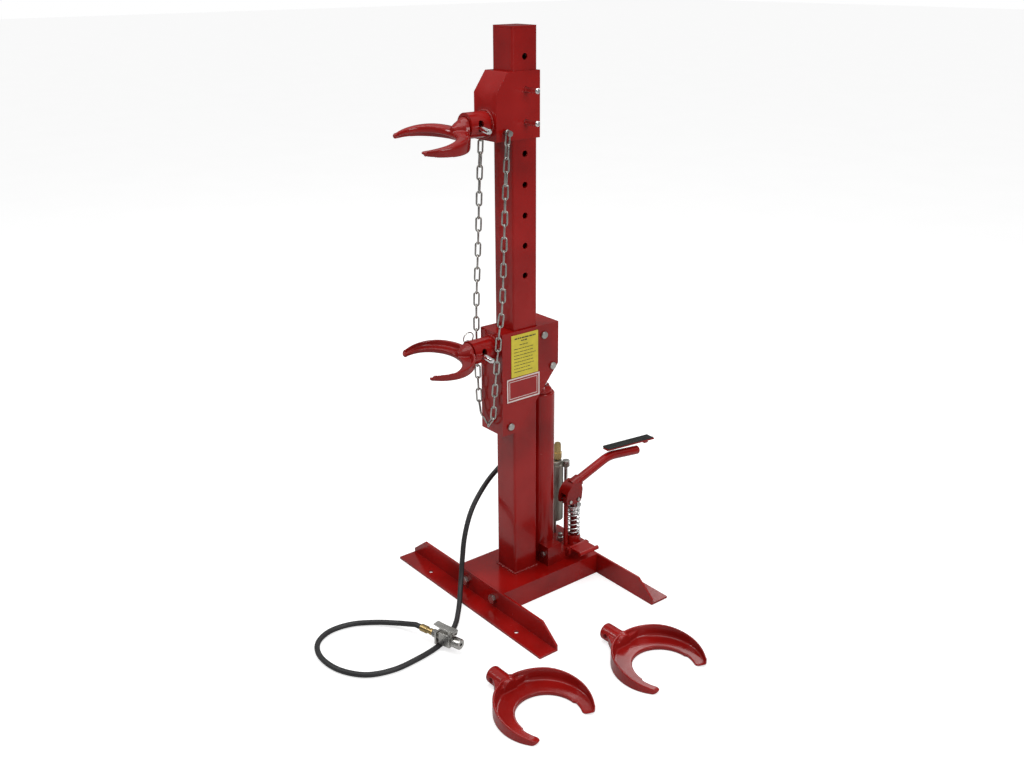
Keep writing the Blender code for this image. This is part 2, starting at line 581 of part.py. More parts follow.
def spare_yokes():
    """Two larger yokes of the kit, lying seat up with their shanks toward the stand."""
    for name, x, y, turn in SPARES:
        holder = empty(f"{name}_place", (x, y, 0), STAND, (0, 0, math.pi / 2 + turn))
        shape = yoke_shape(0.1000, 0.0629, 0.0103, 0.0364, 0.62, 0, (2.16, 2.16), (0.96, 1.03),
                           SPARE_SECTION, 0.0035, 20)
        made = piece(name, shape, RED, holder)
        stem = [(0, 0.0905), (0.0180, 0.0905), (0.0180, 0.1415), (0.0165, 0.1435)]
        join(made, placed(turned(stem, 22), (SPARE_SHANK_X, 0, 0.0185), "Y"), "shank", holder)
        web = [(SPARE_SHANK_X - 0.0172, 0.118), (SPARE_SHANK_X - 0.038, 0.084), (0.0300, 0.090),
               (SPARE_SHANK_X + 0.0172, 0.116)]
        join(made, prism(web, "Z", 0.0050, 0.0262), "web", holder)
        hole_y = 0.1270
        cut(made, rod(YOKE_PIN_R + FIT, (-0.05, hole_y, 0.0185), (0.03, hole_y, 0.0185)), "pin_hole", holder)


# ---------------------------------------------------------------- ram and pump
def ram(lift):
    body = [(RAM_BORE, RAM_LOW + 0.012), (RAM_BORE, RAM_HIGH), (RAM_R - 0.002, RAM_HIGH),
            (RAM_R, RAM_HIGH - 0.003), (RAM_R, RAM_LOW)]
    shape = turned([(0, RAM_LOW + 0.012)] + body + [(0, RAM_LOW)], 36)
    piece("ram_cylinder", placed(shape, (0, RAM_Y, 0)), RED)
    low = RAM_HIGH + GAP
    gland = [(RAM_BORE, low), (0.0235, low), (0.0235, low + 0.006), (0.0190, GLAND_HIGH - 0.004),
             (0.0180, GLAND_HIGH), (RAM_BORE, GLAND_HIGH)]
    piece("ram_gland", placed(turned(gland, 32, closed=True), (0, RAM_Y, 0)), STEEL)
    stem = [(ROD_R - 0.0015, ROD_LOW), (ROD_R, ROD_LOW + 0.002), (ROD_R, ROD_HIGH - 0.002),
            (ROD_R - 0.0015, ROD_HIGH)]
    made = piece("ram_rod", placed(turned(stem, 28), (0, RAM_Y, 0)), CHROME, lift)
    y, z = CLEVIS
    cut(made, rod(AXLE_R + FIT, (-0.03, y, z), (0.03, y, z)), "clevis_hole", lift)


def pump_block():
    made = piece("pump_block", block((-BLOCK_HALF, BLOCK_HALF), (BLOCK_FRONT, BLOCK_REAR),
                                     (BLOCK_LOW, BLOCK_HIGH)), RED)
    join(made, block((VALVE_LUG_LEFT, BLOCK_HALF - 0.0002), (BLOCK_FRONT + 0.0002, BLOCK_STEP),
                     (BLOCK_LOW + 0.002, BLOCK_EAR_HIGH)), "valve_lug")
    cut(made, rod(RAM_R + GAP, (0, RAM_Y, BLOCK_HIGH), (0, RAM_Y, 0.11), 32), "ram_seat")
    join(made, rod(RAM_R, (0, RAM_Y, BLOCK_LOW + 0.0002), (0, RAM_Y, BLOCK_HIGH - 0.0002), 32), "boss")
    for low, high in ((RELEASE_Y[0], RELEASE_Y[0] + 0.005), (RELEASE_Y[1] - 0.005, RELEASE_Y[1])):
        lug = [(BLOCK_HALF - 0.004, BLOCK_LOW + 0.006), (RELEASE_X + 0.0055, BLOCK_HIGH - 0.004),
               (RELEASE_X + 0.0055, RELEASE_Z + 0.0035), (RELEASE_X - 0.005, RELEASE_Z + 0.0035),
               (BLOCK_HALF - 0.004, BLOCK_HIGH - 0.001)]
        join(made, prism(lug, "Y", low, high), f"lug_{low:.3f}")
    join(made, rod(0.0025, (RELEASE_X, RELEASE_Y[0] - 0.002, RELEASE_Z),
                   (RELEASE_X, RELEASE_Y[1] + 0.002, RELEASE_Z), 16), "release_pin")
    cut(made, rod(0.0043, (0.0400, BLOCK_FRONT - 0.01, 0.076), (0.0400, BLOCK_FRONT + 0.025, 0.076), 16),
        "clamp_thread")
    at = (0.0400, BLOCK_FRONT - GAP, 0.076)
    piece("clamp_bolt", placed(bolt(0.004, 0.018, 0.013, 0.0055), at, "Y", 0.3), ZINC)


def foot_pump(plunger_slide, lever_hinge):
    low = BLOCK_HIGH + GAP
    bore = 0.0088
    profile = [(bore, low + 0.004), (bore, BARREL_HIGH), (0.0150, BARREL_HIGH), (0.0165, BARREL_HIGH - 0.004),
               (BARREL_R, low + 0.006), (BARREL_R, low)]
    shape = turned([(0, low + 0.004)] + profile + [(0, low)], 28)
    piece("pump_barrel", placed(shape, (PUMP_X, PUMP_Y, 0)), RED)
    top = 0.2030
    plunger = piece("pump_plunger", placed(turned([(0.0073, low + 0.012), (0.0083, low + 0.013),
                                                   (0.0083, top - 0.003), (0.0060, top)], 24),
                                           (PUMP_X, PUMP_Y, 0)), DARK_RED, plunger_slide)
    cut(plunger, rod(LINK_PIN_R + FIT, (0, PUMP_Y, FULCRUM_Z), (0.07, PUMP_Y, FULCRUM_Z)), "pin_hole",
        plunger_slide)
    collar = [(0.0086, COLLAR_NECK_LOW), (COLLAR_NECK_R, COLLAR_NECK_LOW), (COLLAR_NECK_R, COLLAR_LOW),
              (COLLAR_R, COLLAR_LOW), (COLLAR_R, COLLAR_HIGH), (0.0086, COLLAR_HIGH)]
    piece("spring_collar", placed(turned(collar, 28, closed=True), (PUMP_X, PUMP_Y, 0)), CHROME,
          plunger_slide)
    bottom, height = BARREL_HIGH + GAP + SPRING_WIRE, COLLAR_LOW - BARREL_HIGH - 2 * (GAP + SPRING_WIRE)
    steps = SPRING_TURNS * 12
    coil = [(PUMP_X + SPRING_R * math.cos(math.tau * k / 12), PUMP_Y + SPRING_R * math.sin(math.tau * k / 12),
             bottom + height * k / steps) for k in range(steps + 1)]
    tube("return_spring", coil, SPRING_WIRE, CHROME, resolution=0)
    link_pin("plunger_pin", PUMP_Y, plunger_slide)

    post = [(0.0052, low), (0.0052, FULCRUM_Z - 0.010), (0.0078, FULCRUM_Z - 0.007),
            (0.0078, FULCRUM_Z + 0.006), (0.0050, FULCRUM_Z + 0.008)]
    fulcrum = piece("fulcrum_post", placed(turned(post, 20), (PUMP_X, FULCRUM_Y, 0)), RED)
    cut(fulcrum, rod(LINK_PIN_R + FIT, (0, FULCRUM_Y, FULCRUM_Z), (0.07, FULCRUM_Y, FULCRUM_Z)), "pin_hole")
    link_pin("fulcrum_pin", FULCRUM_Y, STAND)
    lever_socket(lever_hinge)


def link_pin(name, y, parent):
    half = CHEEK_OUTER + 0.0030
    profile = [(0.0060, -half - 0.0020), (0.0060, -half + 0.0022), (LINK_PIN_R, -half + 0.0024),
               (LINK_PIN_R, half)]
    piece(name, placed(turned(profile, 16), (PUMP_X, y, FULCRUM_Z), "X"), ZINC, parent)


def lever_socket(hinge):
    """The red casting: two cheeks on the link pins under a socket for the foot lever."""
    y, z = FULCRUM_Y, FULCRUM_Z
    cheek = [(y - 0.0100, z - 0.0060), (y - 0.0115, z + 0.0060), (y - 0.0075, z + 0.0240),
             (y + 0.0030, z + 0.0370), (y + 0.0200, z + 0.0440), (y + 0.0330, z + 0.0390),
             (y + 0.0375, z + 0.0240), (y + 0.0350, z + 0.0000), (y + 0.0300, z - 0.0080),
             (y + 0.0080, z - 0.0090)]
    x_in, x_out = CHEEK_INNER, CHEEK_OUTER
    made = piece("lever_socket", prism(cheek, "X", PUMP_X - x_out, PUMP_X + x_out), RED, hinge,
                 (PUMP_X, y, z))
    throat = [(y - 0.03, z - 0.03), (y - 0.03, z + 0.0180), (y + 0.0520, z + 0.0180), (y + 0.0520, z - 0.03)]
    cut(made, prism(throat, "X", PUMP_X - x_in, PUMP_X + x_in), "throat", hinge)
    root, bend = lever_point(LEVER_ROOT), lever_point(LEVER_BEND)
    along = (bend - root).normalized()
    join(made, rod(0.0140, root - along * 0.006, root + along * 0.018, 24), "collar", hinge)
    cut(made, rod(LEVER_R + FIT, root + along * 0.002, root + along * 0.060, 24), "lever_bore", hinge)
    cut(made, rod(LINK_PIN_R + FIT, (0, y, z), (0.07, y, z)), "fulcrum_hole", hinge)
    slot = [(b, a) for a, b in stadium((z, PUMP_Y + 0.0010), LINK_PIN_R + 0.0006, 0.0022)]
    cut(made, prism(slot, "X", 0, 0.07), "plunger_slot", hinge)


def lever_point(place):
    return Vector((PUMP_X, place[0], place[1]))


def foot_lever(hinge):
    root, bend, end = lever_point(LEVER_ROOT), lever_point(LEVER_BEND), lever_point(LEVER_END)
    along, onward = (bend - root).normalized(), (end - bend).normalized()
    run = [root + along * 0.0025, root + along * 0.060]
    curve_start, curve_end = bend - along * 0.018, bend + onward * 0.018
    for k in range(7):
        t = k / 6
        run.append(curve_start * (1 - t) ** 2 + bend * 2 * t * (1 - t) + curve_end * t ** 2)
    run += [bend + onward * 0.050, end]
    made = piece("foot_lever", bent_bar(run, LEVER_R), RED, hinge)
    cut(made, rod(LEVER_BORE, end - onward * 0.045, end + onward * 0.01, 20), "bore", hinge)

    length, middle = PEDAL_REAR - PEDAL_FRONT, (PEDAL_REAR + PEDAL_FRONT) / 2
    tilt = empty("pedal_tilt", (PUMP_X, middle, PEDAL_Z), hinge, (PEDAL_SLOPE, 0, 0))
    half = PEDAL_HALF
    plate = piece("pedal_plate", block((-half, half), (-length / 2, length / 2), (0, 0.004)), RED, tilt)
    join(plate, block((-half + 0.003, half - 0.003), (length / 2 - 0.030, length / 2 - 0.018),
                      (-0.006, 0.002)), "toe_lug", tilt)
    pad = piece("pedal_pad", block((-half - 0.0006, half + 0.0006), (-length / 2, length / 2 - 0.006),
                                   (0.004 + GAP, 0.0085)), RUBBER, tilt)
    round_edges(pad, 0.0012)


def release_pedal(hinge):
    low, high = RELEASE_Y[0] + 0.0055, RELEASE_Y[1] - 0.0055
    barrel = rod(0.0052, (RELEASE_X, low, RELEASE_Z), (RELEASE_X, high, RELEASE_Z), 20)
    made = piece("release_pedal", barrel, RED, hinge, (RELEASE_X, RELEASE_Y[0], RELEASE_Z))
    plate = [(RELEASE_X, RELEASE_Z - 0.0005), (RELEASE_TIP_X, RELEASE_Z + 0.0005),
             (RELEASE_TIP_X, RELEASE_Z + 0.0045), (RELEASE_X, RELEASE_Z + 0.0040)]
    join(made, prism(plate, "Y", low + 0.0004, high - 0.0004), "plate", hinge)
    join(made, rod(0.0048, (RELEASE_TIP_X, low - 0.003, RELEASE_Z + 0.0025),
                   (RELEASE_TIP_X, high + 0.003, RELEASE_Z + 0.0025), 20), "bar", hinge)
    cut(made, rod(0.0028, (RELEASE_X, low - 0.01, RELEASE_Z), (RELEASE_X, high + 0.01, RELEASE_Z), 16),
        "pin_hole", hinge)


def air_motor():
    at = (MOTOR_X, MOTOR_Y, 0)
    barrel = [(MOTOR_R - 0.001, MOTOR_LOW), (MOTOR_R, MOTOR_LOW + 0.001), (MOTOR_R, MOTOR_HIGH - GAP)]
    piece("motor_barrel", placed(turned(barrel, 32), at), ALUMINIUM)
    cap = [(MOTOR_R + 0.0008, MOTOR_HIGH), (MOTOR_R + 0.0008, MOTOR_EAR_HIGH - 0.001),
           (MOTOR_R - 0.0035, MOTOR_EAR_HIGH), (MOTOR_R - 0.0035, MOTOR_CAP_HIGH - 0.002),
           (MOTOR_R - 0.0055, MOTOR_CAP_HIGH)]
    made = piece("motor_cap", placed(turned(cap, 32), at), ALUMINIUM)
    stud = [(0.0060, BLOCK_HIGH + GAP), (0.0060, MOTOR_LOW - GAP)]
    piece("motor_stud", placed(turned(stud, 20), at), STEEL)
    for side, label in ((-1, "front"), (1, "rear")):
        x, y = MOTOR_X + side * TIE_OFFSET[0], MOTOR_Y + side * TIE_OFFSET[1]
        ear = rod(0.0088, (x, y, MOTOR_HIGH + 0.0002), (x, y, MOTOR_EAR_HIGH - 0.0002))
        join(made, ear, f"ear_{label}")
        cut(made, rod(TIE_R + FIT, (x, y, 0.2), (x, y, 0.3)), f"tie_hole_{label}")
        tie = [(0.0083, 0), (0.0086, 0.001), (0.0086, 0.0065), (0.0075, 0.0070)]
        shaft = [(TIE_R, BLOCK_HIGH + GAP), (TIE_R, MOTOR_EAR_HIGH + GAP)]
        head = [(r, MOTOR_EAR_HIGH + GAP + h) for r, h in tie]
        piece(f"tie_rod_{label}", placed(turned(shaft + head, 20), (x, y, 0)), ZINC)
    low = MOTOR_CAP_HIGH + GAP
    inlet = [(0.0060, low), (0.0060, low + 0.0030), (0.0110, low + 0.0032), (0.0110, low + 0.0180),
             (0.0090, low + 0.0185), (0.0090, INLET_HIGH - 0.006), (0.0070, INLET_HIGH)]
    made = piece("inlet_elbow", placed(turned(inlet, 6), (INLET_X, INLET_Y, 0), roll=0.2), BRASS)
    join(made, rod(0.0058, (INLET_X, INLET_Y, HOSE_START[2]), HOSE_START - Vector((-GAP, 0, 0)), 20),
         "outlet")
    elbow = [(0.0075, 0), (0.0075, 0.009), (0.0055, 0.0095), (0.0055, 0.018), (0.003, 0.019)]
    piece("feed_fitting", placed(turned(elbow, 6), (0.0080, 0.1240, BLOCK_HIGH + GAP)), STEEL)


# ---------------------------------------------------------------- chain, hose and valve
CHAIN_ROUTE = [
    (0.0440, -0.0540, CHAIN_BOLT_Z - 0.0110), (0.0440, -0.0605, 0.9300), (0.0440, -0.0660, 0.8000),
    (0.0440, -0.0720, 0.6900), (0.0390, -0.0765, 0.6350), (0.0340, -0.0775, 0.5830),
    (0.0230, -0.0775, 0.4950), (0.0150, -0.0775, 0.4400), (0.0020, -0.0775, 0.4250),
    (-0.0150, -0.0775, 0.4300), (-0.0280, -0.0775, 0.4450), (-0.0340, -0.0775, 0.4900),
    (-0.0370, -0.0775, 0.5500), (-0.0400, -0.0765, 0.6150), (-0.0440, -0.0720, 0.6900),
    (-0.0440, -0.0650, 0.8200), (-0.0440, -0.0595, 0.9400), (-0.0440, -0.0540, CHAIN_BOLT_Z - 0.0110)]


def chain():
    """The safety chain's outer shape: one bar down each side, joined in a bend at the bottom."""
    tube("chain", smooth_route(CHAIN_ROUTE, 0.030), CHAIN_R, ZINC)


HOSE_START = Vector((-0.048, 0.1465, 0.2900))
HOSE_ROUTE = [
    tuple(HOSE_START), (-0.066, 0.1455, 0.2905), (-0.092, 0.1300, 0.289), (-0.106, 0.0850, 0.279),
    (-0.102, 0.0350, 0.2540), (-0.090, -0.0200, 0.2270), (-0.078, -0.0700, 0.1820),
    (-0.065, -0.1010, 0.1300), (-0.054, -0.1170, 0.0820), (-0.044, -0.1280, 0.0470),
    (-0.028, -0.1430, 0.0230), (-0.005, -0.1620, 0.0112), (0.0250, -0.1880, 0.0064),
    (0.0560, -0.2170, 0.0060), (0.0860, -0.2570, 0.0060), (0.1030, -0.3000, 0.0060),
    (0.1120, -0.3560, 0.0060), (0.1120, -0.4150, 0.0060), (0.0910, -0.4660, 0.0060),
    (0.0400, -0.5000, 0.0060), (-0.0240, -0.5060, 0.0060), (-0.0690, -0.4860, 0.0060),
    (-0.0910, -0.4460, 0.0060), (-0.0860, -0.3960, 0.0060), (-0.0560, -0.3490, 0.0070),
    (-0.0180, -0.3190, 0.0120), (0.0080, -0.3092, 0.0190)]


def valve_place(along, across=0.0, up=0.0):
    """A point in the hand valve's own frame, along its axis toward the inlet nipple."""
    turn = Matrix.Rotation(VALVE_TURN, 3, "Z")
    return VALVE_AT + turn @ Vector((along, across, up))


def hose_and_valve(lever_hinge):
    straight, end = valve_place(-0.0690 - 0.016), valve_place(-0.0690 - GAP)
    run = smooth_route(HOSE_ROUTE + [tuple(straight)], 0.020) + [end]
    tube("air_hose", run, HOSE_R, RUBBER)
    axis = valve_place(1) - valve_place(0)
    ferrule = [(0.0074, 0), (0.0080, 0.0015), (0.0080, 0.0180), (0.0060, 0.0195), (0.0060, 0.0250),
               (0.0070, 0.0260), (0.0070, 0.0345)]
    piece("hose_ferrule", placed(turned(ferrule, 20), valve_place(-0.0690), axis), BRASS)
    body = empty("valve_place", VALVE_AT, STAND, (0, 0, VALVE_TURN))
    made = piece("valve_body", block((-0.0120, 0.0180), (-0.0115, 0.0115), (-0.0135, 0.0165)), ZINC, body)
    round_edges(made, 0.002)
    join(made, block((-0.0200, -0.0150), (-0.0145, 0.0145), (-0.0138, 0.0140)), "flange", body)
    join(made, rod(0.0095, (-0.0155, 0, 0), (-0.0115, 0, 0)), "neck", body)
    join(made, placed(turned([(0.0088, -0.0342), (0.0088, -0.0195)], 6), (0, 0, 0), "X"), "nut", body)
    for side in (-1, 1):
        ear = [(0.0130, 0.0100), (0.0210, 0.0100), (0.0240, 0.0205), (0.0210, 0.0240), (0.0150, 0.0240)]
        inner, outer = sorted((side * 0.0085, side * 0.0113))
        join(made, prism(ear, "Y", inner, outer), f"ear_{side:+d}", body)
    join(made, rod(0.0015, (0.0190, -0.0120, 0.0205), (0.0190, 0.0120, 0.0205), 14), "lever_pin", body)
    nipple = [(0.0034, 0.0183), (0.0080, 0.0183), (0.0080, 0.0210), (0.0116, 0.0225), (0.0116, 0.0395),
              (0.0100, 0.0410), (0.0034, 0.0410)]
    piece("valve_nipple", placed(turned(nipple, 24, closed=True), (0, 0, 0), "X"), ZINC, body)

    section = [(-0.0080, 0.0170), (0.0080, 0.0170)]
    low, high = 0.0232, 0.0250
    arm = [(-0.0270, high + 0.0016), (-0.0270, high + 0.0034), (-0.0080, high + 0.0018), (0.0270, high + 0.0012),
           (0.0270, low), (-0.0080, low + 0.0004)]
    made = piece("valve_lever", prism(arm, "Y", section[0][0], section[1][0]), ZINC, lever_hinge,
                 (0.0190, 0, 0.0205))
    join(made, block((0.0150, 0.0230), (-0.0078, 0.0078), (0.0180, 0.0240)), "knuckle", lever_hinge)
    cut(made, rod(0.0018, (0.0190, -0.03, 0.0205), (0.0190, 0.03, 0.0205), 14), "pin_hole", lever_hinge)


def main():
    lift = empty("lower_carriage_lift", (0, 0, 0), STAND)
    base_channel()
    foot("front_foot", BASE_FRONT, -1)
    foot("rear_foot", BASE_REAR, 1)
    column()
    upper_carriage()
    carriage_pins()
    lower_carriage(lift)
    labels(lift)
    upper_rock = empty("upper_yoke_rock", (0, YOKE_PIN_Y, UPPER_SOCKET_Z), STAND, (0, ROCK, 0))
    lower_rock = empty("lower_yoke_rock", (0, YOKE_PIN_Y, LOWER_SOCKET_Z), lift, (0, ROCK, 0))
    working_yoke("upper_yoke", upper_rock, -0.0065, True, (2.25, 2.08), (0.003, -0.0122))
    working_yoke("lower_yoke", lower_rock, -0.0100, False, (2.08, 2.25), (0.006, 0.0112))
    ram(lift)
    pump_block()
    plunger_slide = empty("plunger_slide", (0, 0, 0), STAND)
    lever_hinge = empty("foot_lever_hinge", (0, 0, 0), STAND)
    foot_pump(plunger_slide, lever_hinge)
    foot_lever(lever_hinge)
    release_pedal(empty("release_hinge", (0, 0, 0), STAND))
    air_motor()
    chain()
    hose_and_valve(empty("valve_lever_hinge", VALVE_AT, STAND, (0, 0, VALVE_TURN)))
    spare_yokes()


main()
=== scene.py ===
"""The looks of a strut coil spring compressor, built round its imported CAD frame.

Metres, +Z up, floor at z = 0. Shapes are drawn in the column's own frame, whose origin is the foot
of the column's axis, and carried to the row frame by COLUMN.
"""

import json
import math
import random

import bmesh
import bpy
from mathutils import Matrix, Vector


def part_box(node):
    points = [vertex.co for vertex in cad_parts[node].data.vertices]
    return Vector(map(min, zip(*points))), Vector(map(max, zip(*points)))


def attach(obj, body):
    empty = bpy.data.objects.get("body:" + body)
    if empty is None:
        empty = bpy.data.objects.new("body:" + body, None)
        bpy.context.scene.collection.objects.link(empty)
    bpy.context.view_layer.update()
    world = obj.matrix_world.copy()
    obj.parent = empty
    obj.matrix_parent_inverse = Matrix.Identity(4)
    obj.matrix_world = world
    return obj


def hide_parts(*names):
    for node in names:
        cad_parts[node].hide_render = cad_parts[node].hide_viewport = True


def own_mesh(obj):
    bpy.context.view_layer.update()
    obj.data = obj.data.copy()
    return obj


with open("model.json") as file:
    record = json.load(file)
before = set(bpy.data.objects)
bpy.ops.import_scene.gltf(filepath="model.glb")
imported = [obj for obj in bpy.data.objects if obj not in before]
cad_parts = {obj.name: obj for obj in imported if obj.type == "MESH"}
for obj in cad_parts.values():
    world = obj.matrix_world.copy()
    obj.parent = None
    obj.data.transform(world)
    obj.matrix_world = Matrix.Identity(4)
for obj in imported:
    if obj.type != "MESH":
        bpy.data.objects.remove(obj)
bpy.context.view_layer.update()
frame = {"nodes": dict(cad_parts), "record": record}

COLUMN = Vector((-0.1188, -0.0188, 0))
SCENE = bpy.context.scene
NOWHERE = Vector((0, 0, 0))  # for shapes drawn in the row frame already
X, Y, Z = Vector((1, 0, 0)), Vector((0, 1, 0)), Vector((0, 0, 1))


# ---------------------------------------------------------------- camera
def make_camera():
    data = bpy.data.cameras.new("camera")
    data.lens, data.sensor_width = 39.28, 36
    data.shift_x, data.shift_y = -0.0040, -0.0441
    data.clip_start = 0.05
    made = bpy.data.objects.new("camera", data)
    SCENE.collection.objects.link(made)
    place = COLUMN + Vector((1.7889, -1.4221, 1.3746))
    aim = (COLUMN + Vector((0, 0, 0.6)) - place).to_track_quat("-Z", "Y").to_matrix().to_4x4()
    made.matrix_world = Matrix.Translation(place) @ aim @ Matrix.Rotation(math.radians(-0.29), 4, "Z")
    SCENE.camera = made


make_camera()


# ---------------------------------------------------------------- node materials
class Shader:
    """A material whose nodes are made by short calls; inputs take a number, a colour or a socket."""

    def __init__(self, name, rough, metallic=0.0):
        self.material = bpy.data.materials.new(name)
        self.material.use_nodes = True
        self.tree = self.material.node_tree
        self.out = self.tree.nodes["Principled BSDF"]
        self.out.inputs["Roughness"].default_value = rough
        self.out.inputs["Metallic"].default_value = metallic
        self.place = self.tree.nodes.new("ShaderNodeTexCoord").outputs["Object"]

    def node(self, kind, inputs=(), **options):
        made = self.tree.nodes.new("ShaderNode" + kind)
        for key, value in options.items():
            setattr(made, key, value)
        for key, value in dict(inputs).items():
            self.feed(made.inputs[key], value)
        return made

    def feed(self, socket, value):
        if isinstance(value, bpy.types.NodeSocket):
            self.tree.links.new(value, socket)
        else:
            socket.default_value = value

    def stretched(self, scale):
        return self.node("Mapping", {"Vector": self.place, "Scale": scale}).outputs[0]

    def noise(self, scale, detail=2.0, rough=0.5, place=None):
        return self.node("TexNoise", {"Vector": place or self.place, "Scale": scale, "Detail": detail,
                                      "Roughness": rough}).outputs["Fac"]

    def ramp(self, factor, stops):
        made = self.node("ValToRGB", {"Fac": factor})
        points = made.color_ramp.elements
        points[0].position, points[0].color = stops[0][0], grey(stops[0][1])
        points[1].position, points[1].color = stops[-1][0], grey(stops[-1][1])
        for at, colour in stops[1:-1]:
            points.new(at).color = grey(colour)
        return made.outputs["Color"]

    def mix(self, factor, a, b, how="MIX"):
        made = self.tree.nodes.new("ShaderNodeMix")
        made.data_type, made.blend_type = "RGBA", how
        for socket, value in ((made.inputs[0], factor), (made.inputs[6], a), (made.inputs[7], b)):
            self.feed(socket, value)
        return made.outputs[2]

    def maths(self, how, a, b=0.0, clamp=False):
        made = self.tree.nodes.new("ShaderNodeMath")
        made.operation, made.use_clamp = how, clamp
        self.feed(made.inputs[0], a)
        self.feed(made.inputs[1], b)
        return made.outputs[0]

    def edges(self, radius):
        """0 on a flat, near 1 on an edge that a small ball would round off."""
        soft = self.node("Bevel", {"Radius": radius}, samples=4).outputs[0]
        true = self.node("NewGeometry").outputs["True Normal"]
        dot = self.node("VectorMath", {0: soft, 1: true}, operation="DOT_PRODUCT").outputs["Value"]
        return self.maths("MULTIPLY", self.maths("SUBTRACT", 1.0, dot), 5.0, clamp=True)

    def bump(self, *layers):
        """Layers of (height, strength, distance), the first lowest."""
        normal = None
        for height, strength, distance in layers:
            inputs = {"Height": height, "Strength": strength, "Distance": distance}
            if normal is not None:
                inputs["Normal"] = normal
            normal = self.node("Bump", inputs).outputs[0]
        self.feed(self.out.inputs["Normal"], normal)

    def set(self, **sockets):
        for key, value in sockets.items():
            self.feed(self.out.inputs[key.replace("_", " ")], value)
        return self.material


def grey(value):
    return (value, value, value, 1) if isinstance(value, float) else (*value, 1)


def red_paint(name, colour, orange_peel=0.30, edge_glint=0.5):
    """Thick glossy enamel: orange peel, slow colour drift, dust in it and painted highlights along its edges.
    """
    s = Shader(name, 0.2)
    drift = s.noise(7.0, 3.0)
    dark = tuple(0.62 * c for c in colour)
    light = tuple(min(1.0, 1.22 * c + 0.004) for c in colour)
    base = s.ramp(drift, [(0.30, dark), (0.52, colour), (0.75, light)])
    specks = s.ramp(s.noise(420.0, 2.0, 0.6), [(0.70, 0.0), (0.76, 1.0)])
    base = s.mix(s.maths("MULTIPLY", specks, 0.25), base, grey(tuple(0.25 * c for c in colour)))
    patches = s.ramp(s.noise(65.0, 4.0, 0.7), [(0.45, 0.0), (0.62, 1.0)])
    # Painted highlight: the paint is lightened on rounded-off edges, in noise patches, in place of the bright
    # light along the edges.
    edge_glint_mask = s.maths("MULTIPLY", s.edges(0.0011), patches)
    base = s.mix(s.maths("MULTIPLY", edge_glint_mask, edge_glint), base, grey(tuple(1.5 * c + 0.05 for c in colour)))
    haze = s.ramp(s.noise(26.0, 4.0, 0.6), [(0.30, 0.14), (0.75, 0.28)])
    s.bump((s.noise(28.0, 2.0), 0.25, 0.0006), (s.noise(300.0, 2.0, 0.55), orange_peel, 0.0003))
    return s.set(Base_Color=base, Roughness=haze, Specular_IOR_Level=0.28, Coat_Weight=0.20,
                 Coat_Roughness=0.06)


def plated(name, colour, rough, grain, scratch=(1, 1, 1)):
    """Bright zinc or ground steel: fine cloudy tone, rough patches and a little grain."""
    s = Shader(name, rough, 1.0)
    cloud = s.noise(60.0, 4.0, 0.6)
    dark, light = tuple(0.62 * c for c in colour), tuple(min(1.0, 1.15 * c) for c in colour)
    base = s.ramp(cloud, [(0.25, dark), (0.6, colour), (0.8, light)])
    line = s.noise(700.0, 3.0, 0.6, s.stretched(scratch))
    tone = s.ramp(line, [(0.30, rough * 0.7), (0.70, min(0.9, rough * 1.7))])
    s.bump((line, grain, 0.0002), (s.noise(150.0, 3.0), 0.10, 0.0002))
    return s.set(Base_Color=base, Roughness=tone)


def cast_metal(name, colour, rough, dirt):
    """Unpainted casting: pitted, with brown dirt in patches."""
    s = Shader(name, rough, 1.0)
    pits = s.noise(480.0, 4.0, 0.65)
    stain = s.ramp(s.noise(22.0, 5.0, 0.65), [(0.35, 0.0), (0.75, 1.0)])
    base = s.ramp(pits, [(0.30, tuple(0.6 * c for c in colour)), (0.65, colour)])
    base = s.mix(s.maths("MULTIPLY", stain, dirt), base, (0.10, 0.085, 0.06, 1))
    s.bump((s.noise(90.0, 3.0), 0.15, 0.0006), (pits, 0.35, 0.0003))
    return s.set(Base_Color=base, Roughness=s.ramp(pits, [(0.3, rough * 0.8), (0.7, min(0.9, rough * 1.4))]))


def rubber(name, colour, rough, weave=0.0):
    """Matt black rubber with fine grain and a little dust."""
    s = Shader(name, rough)
    grain = s.noise(900.0, 3.0, 0.6)
    dust = s.ramp(s.noise(35.0, 5.0, 0.6), [(0.45, 0.0), (0.85, 1.0)])
    base = s.mix(s.maths("MULTIPLY", dust, 0.3), grey(colour), grey(tuple(c + 0.035 for c in colour)))
    s.bump((grain, 0.25, 0.0002), (s.noise(240.0, 2.0), 0.12 + weave, 0.0003))
    haze = s.ramp(grain, [(0.3, rough * 0.85), (0.7, min(0.95, rough * 1.2))])
    return s.set(Base_Color=base, Roughness=haze)


def film(name, colour, rough):
    """Printed label film: slightly uneven, scuffed in patches."""
    s = Shader(name, rough)
    tone = s.ramp(s.noise(55.0, 4.0), [(0.3, tuple(0.86 * c for c in colour)), (0.7, colour)])
    scuff = s.ramp(s.noise(380.0, 4.0, 0.7), [(0.66, 0.0), (0.74, 1.0)])
    base = s.mix(s.maths("MULTIPLY", scuff, 0.18), tone, (0.55, 0.52, 0.45, 1))
    s.bump((s.noise(120.0, 3.0), 0.12, 0.0002))
    return s.set(Base_Color=base, Roughness=s.ramp(scuff, [(0.0, rough), (1.0, min(0.9, rough * 1.6))]))


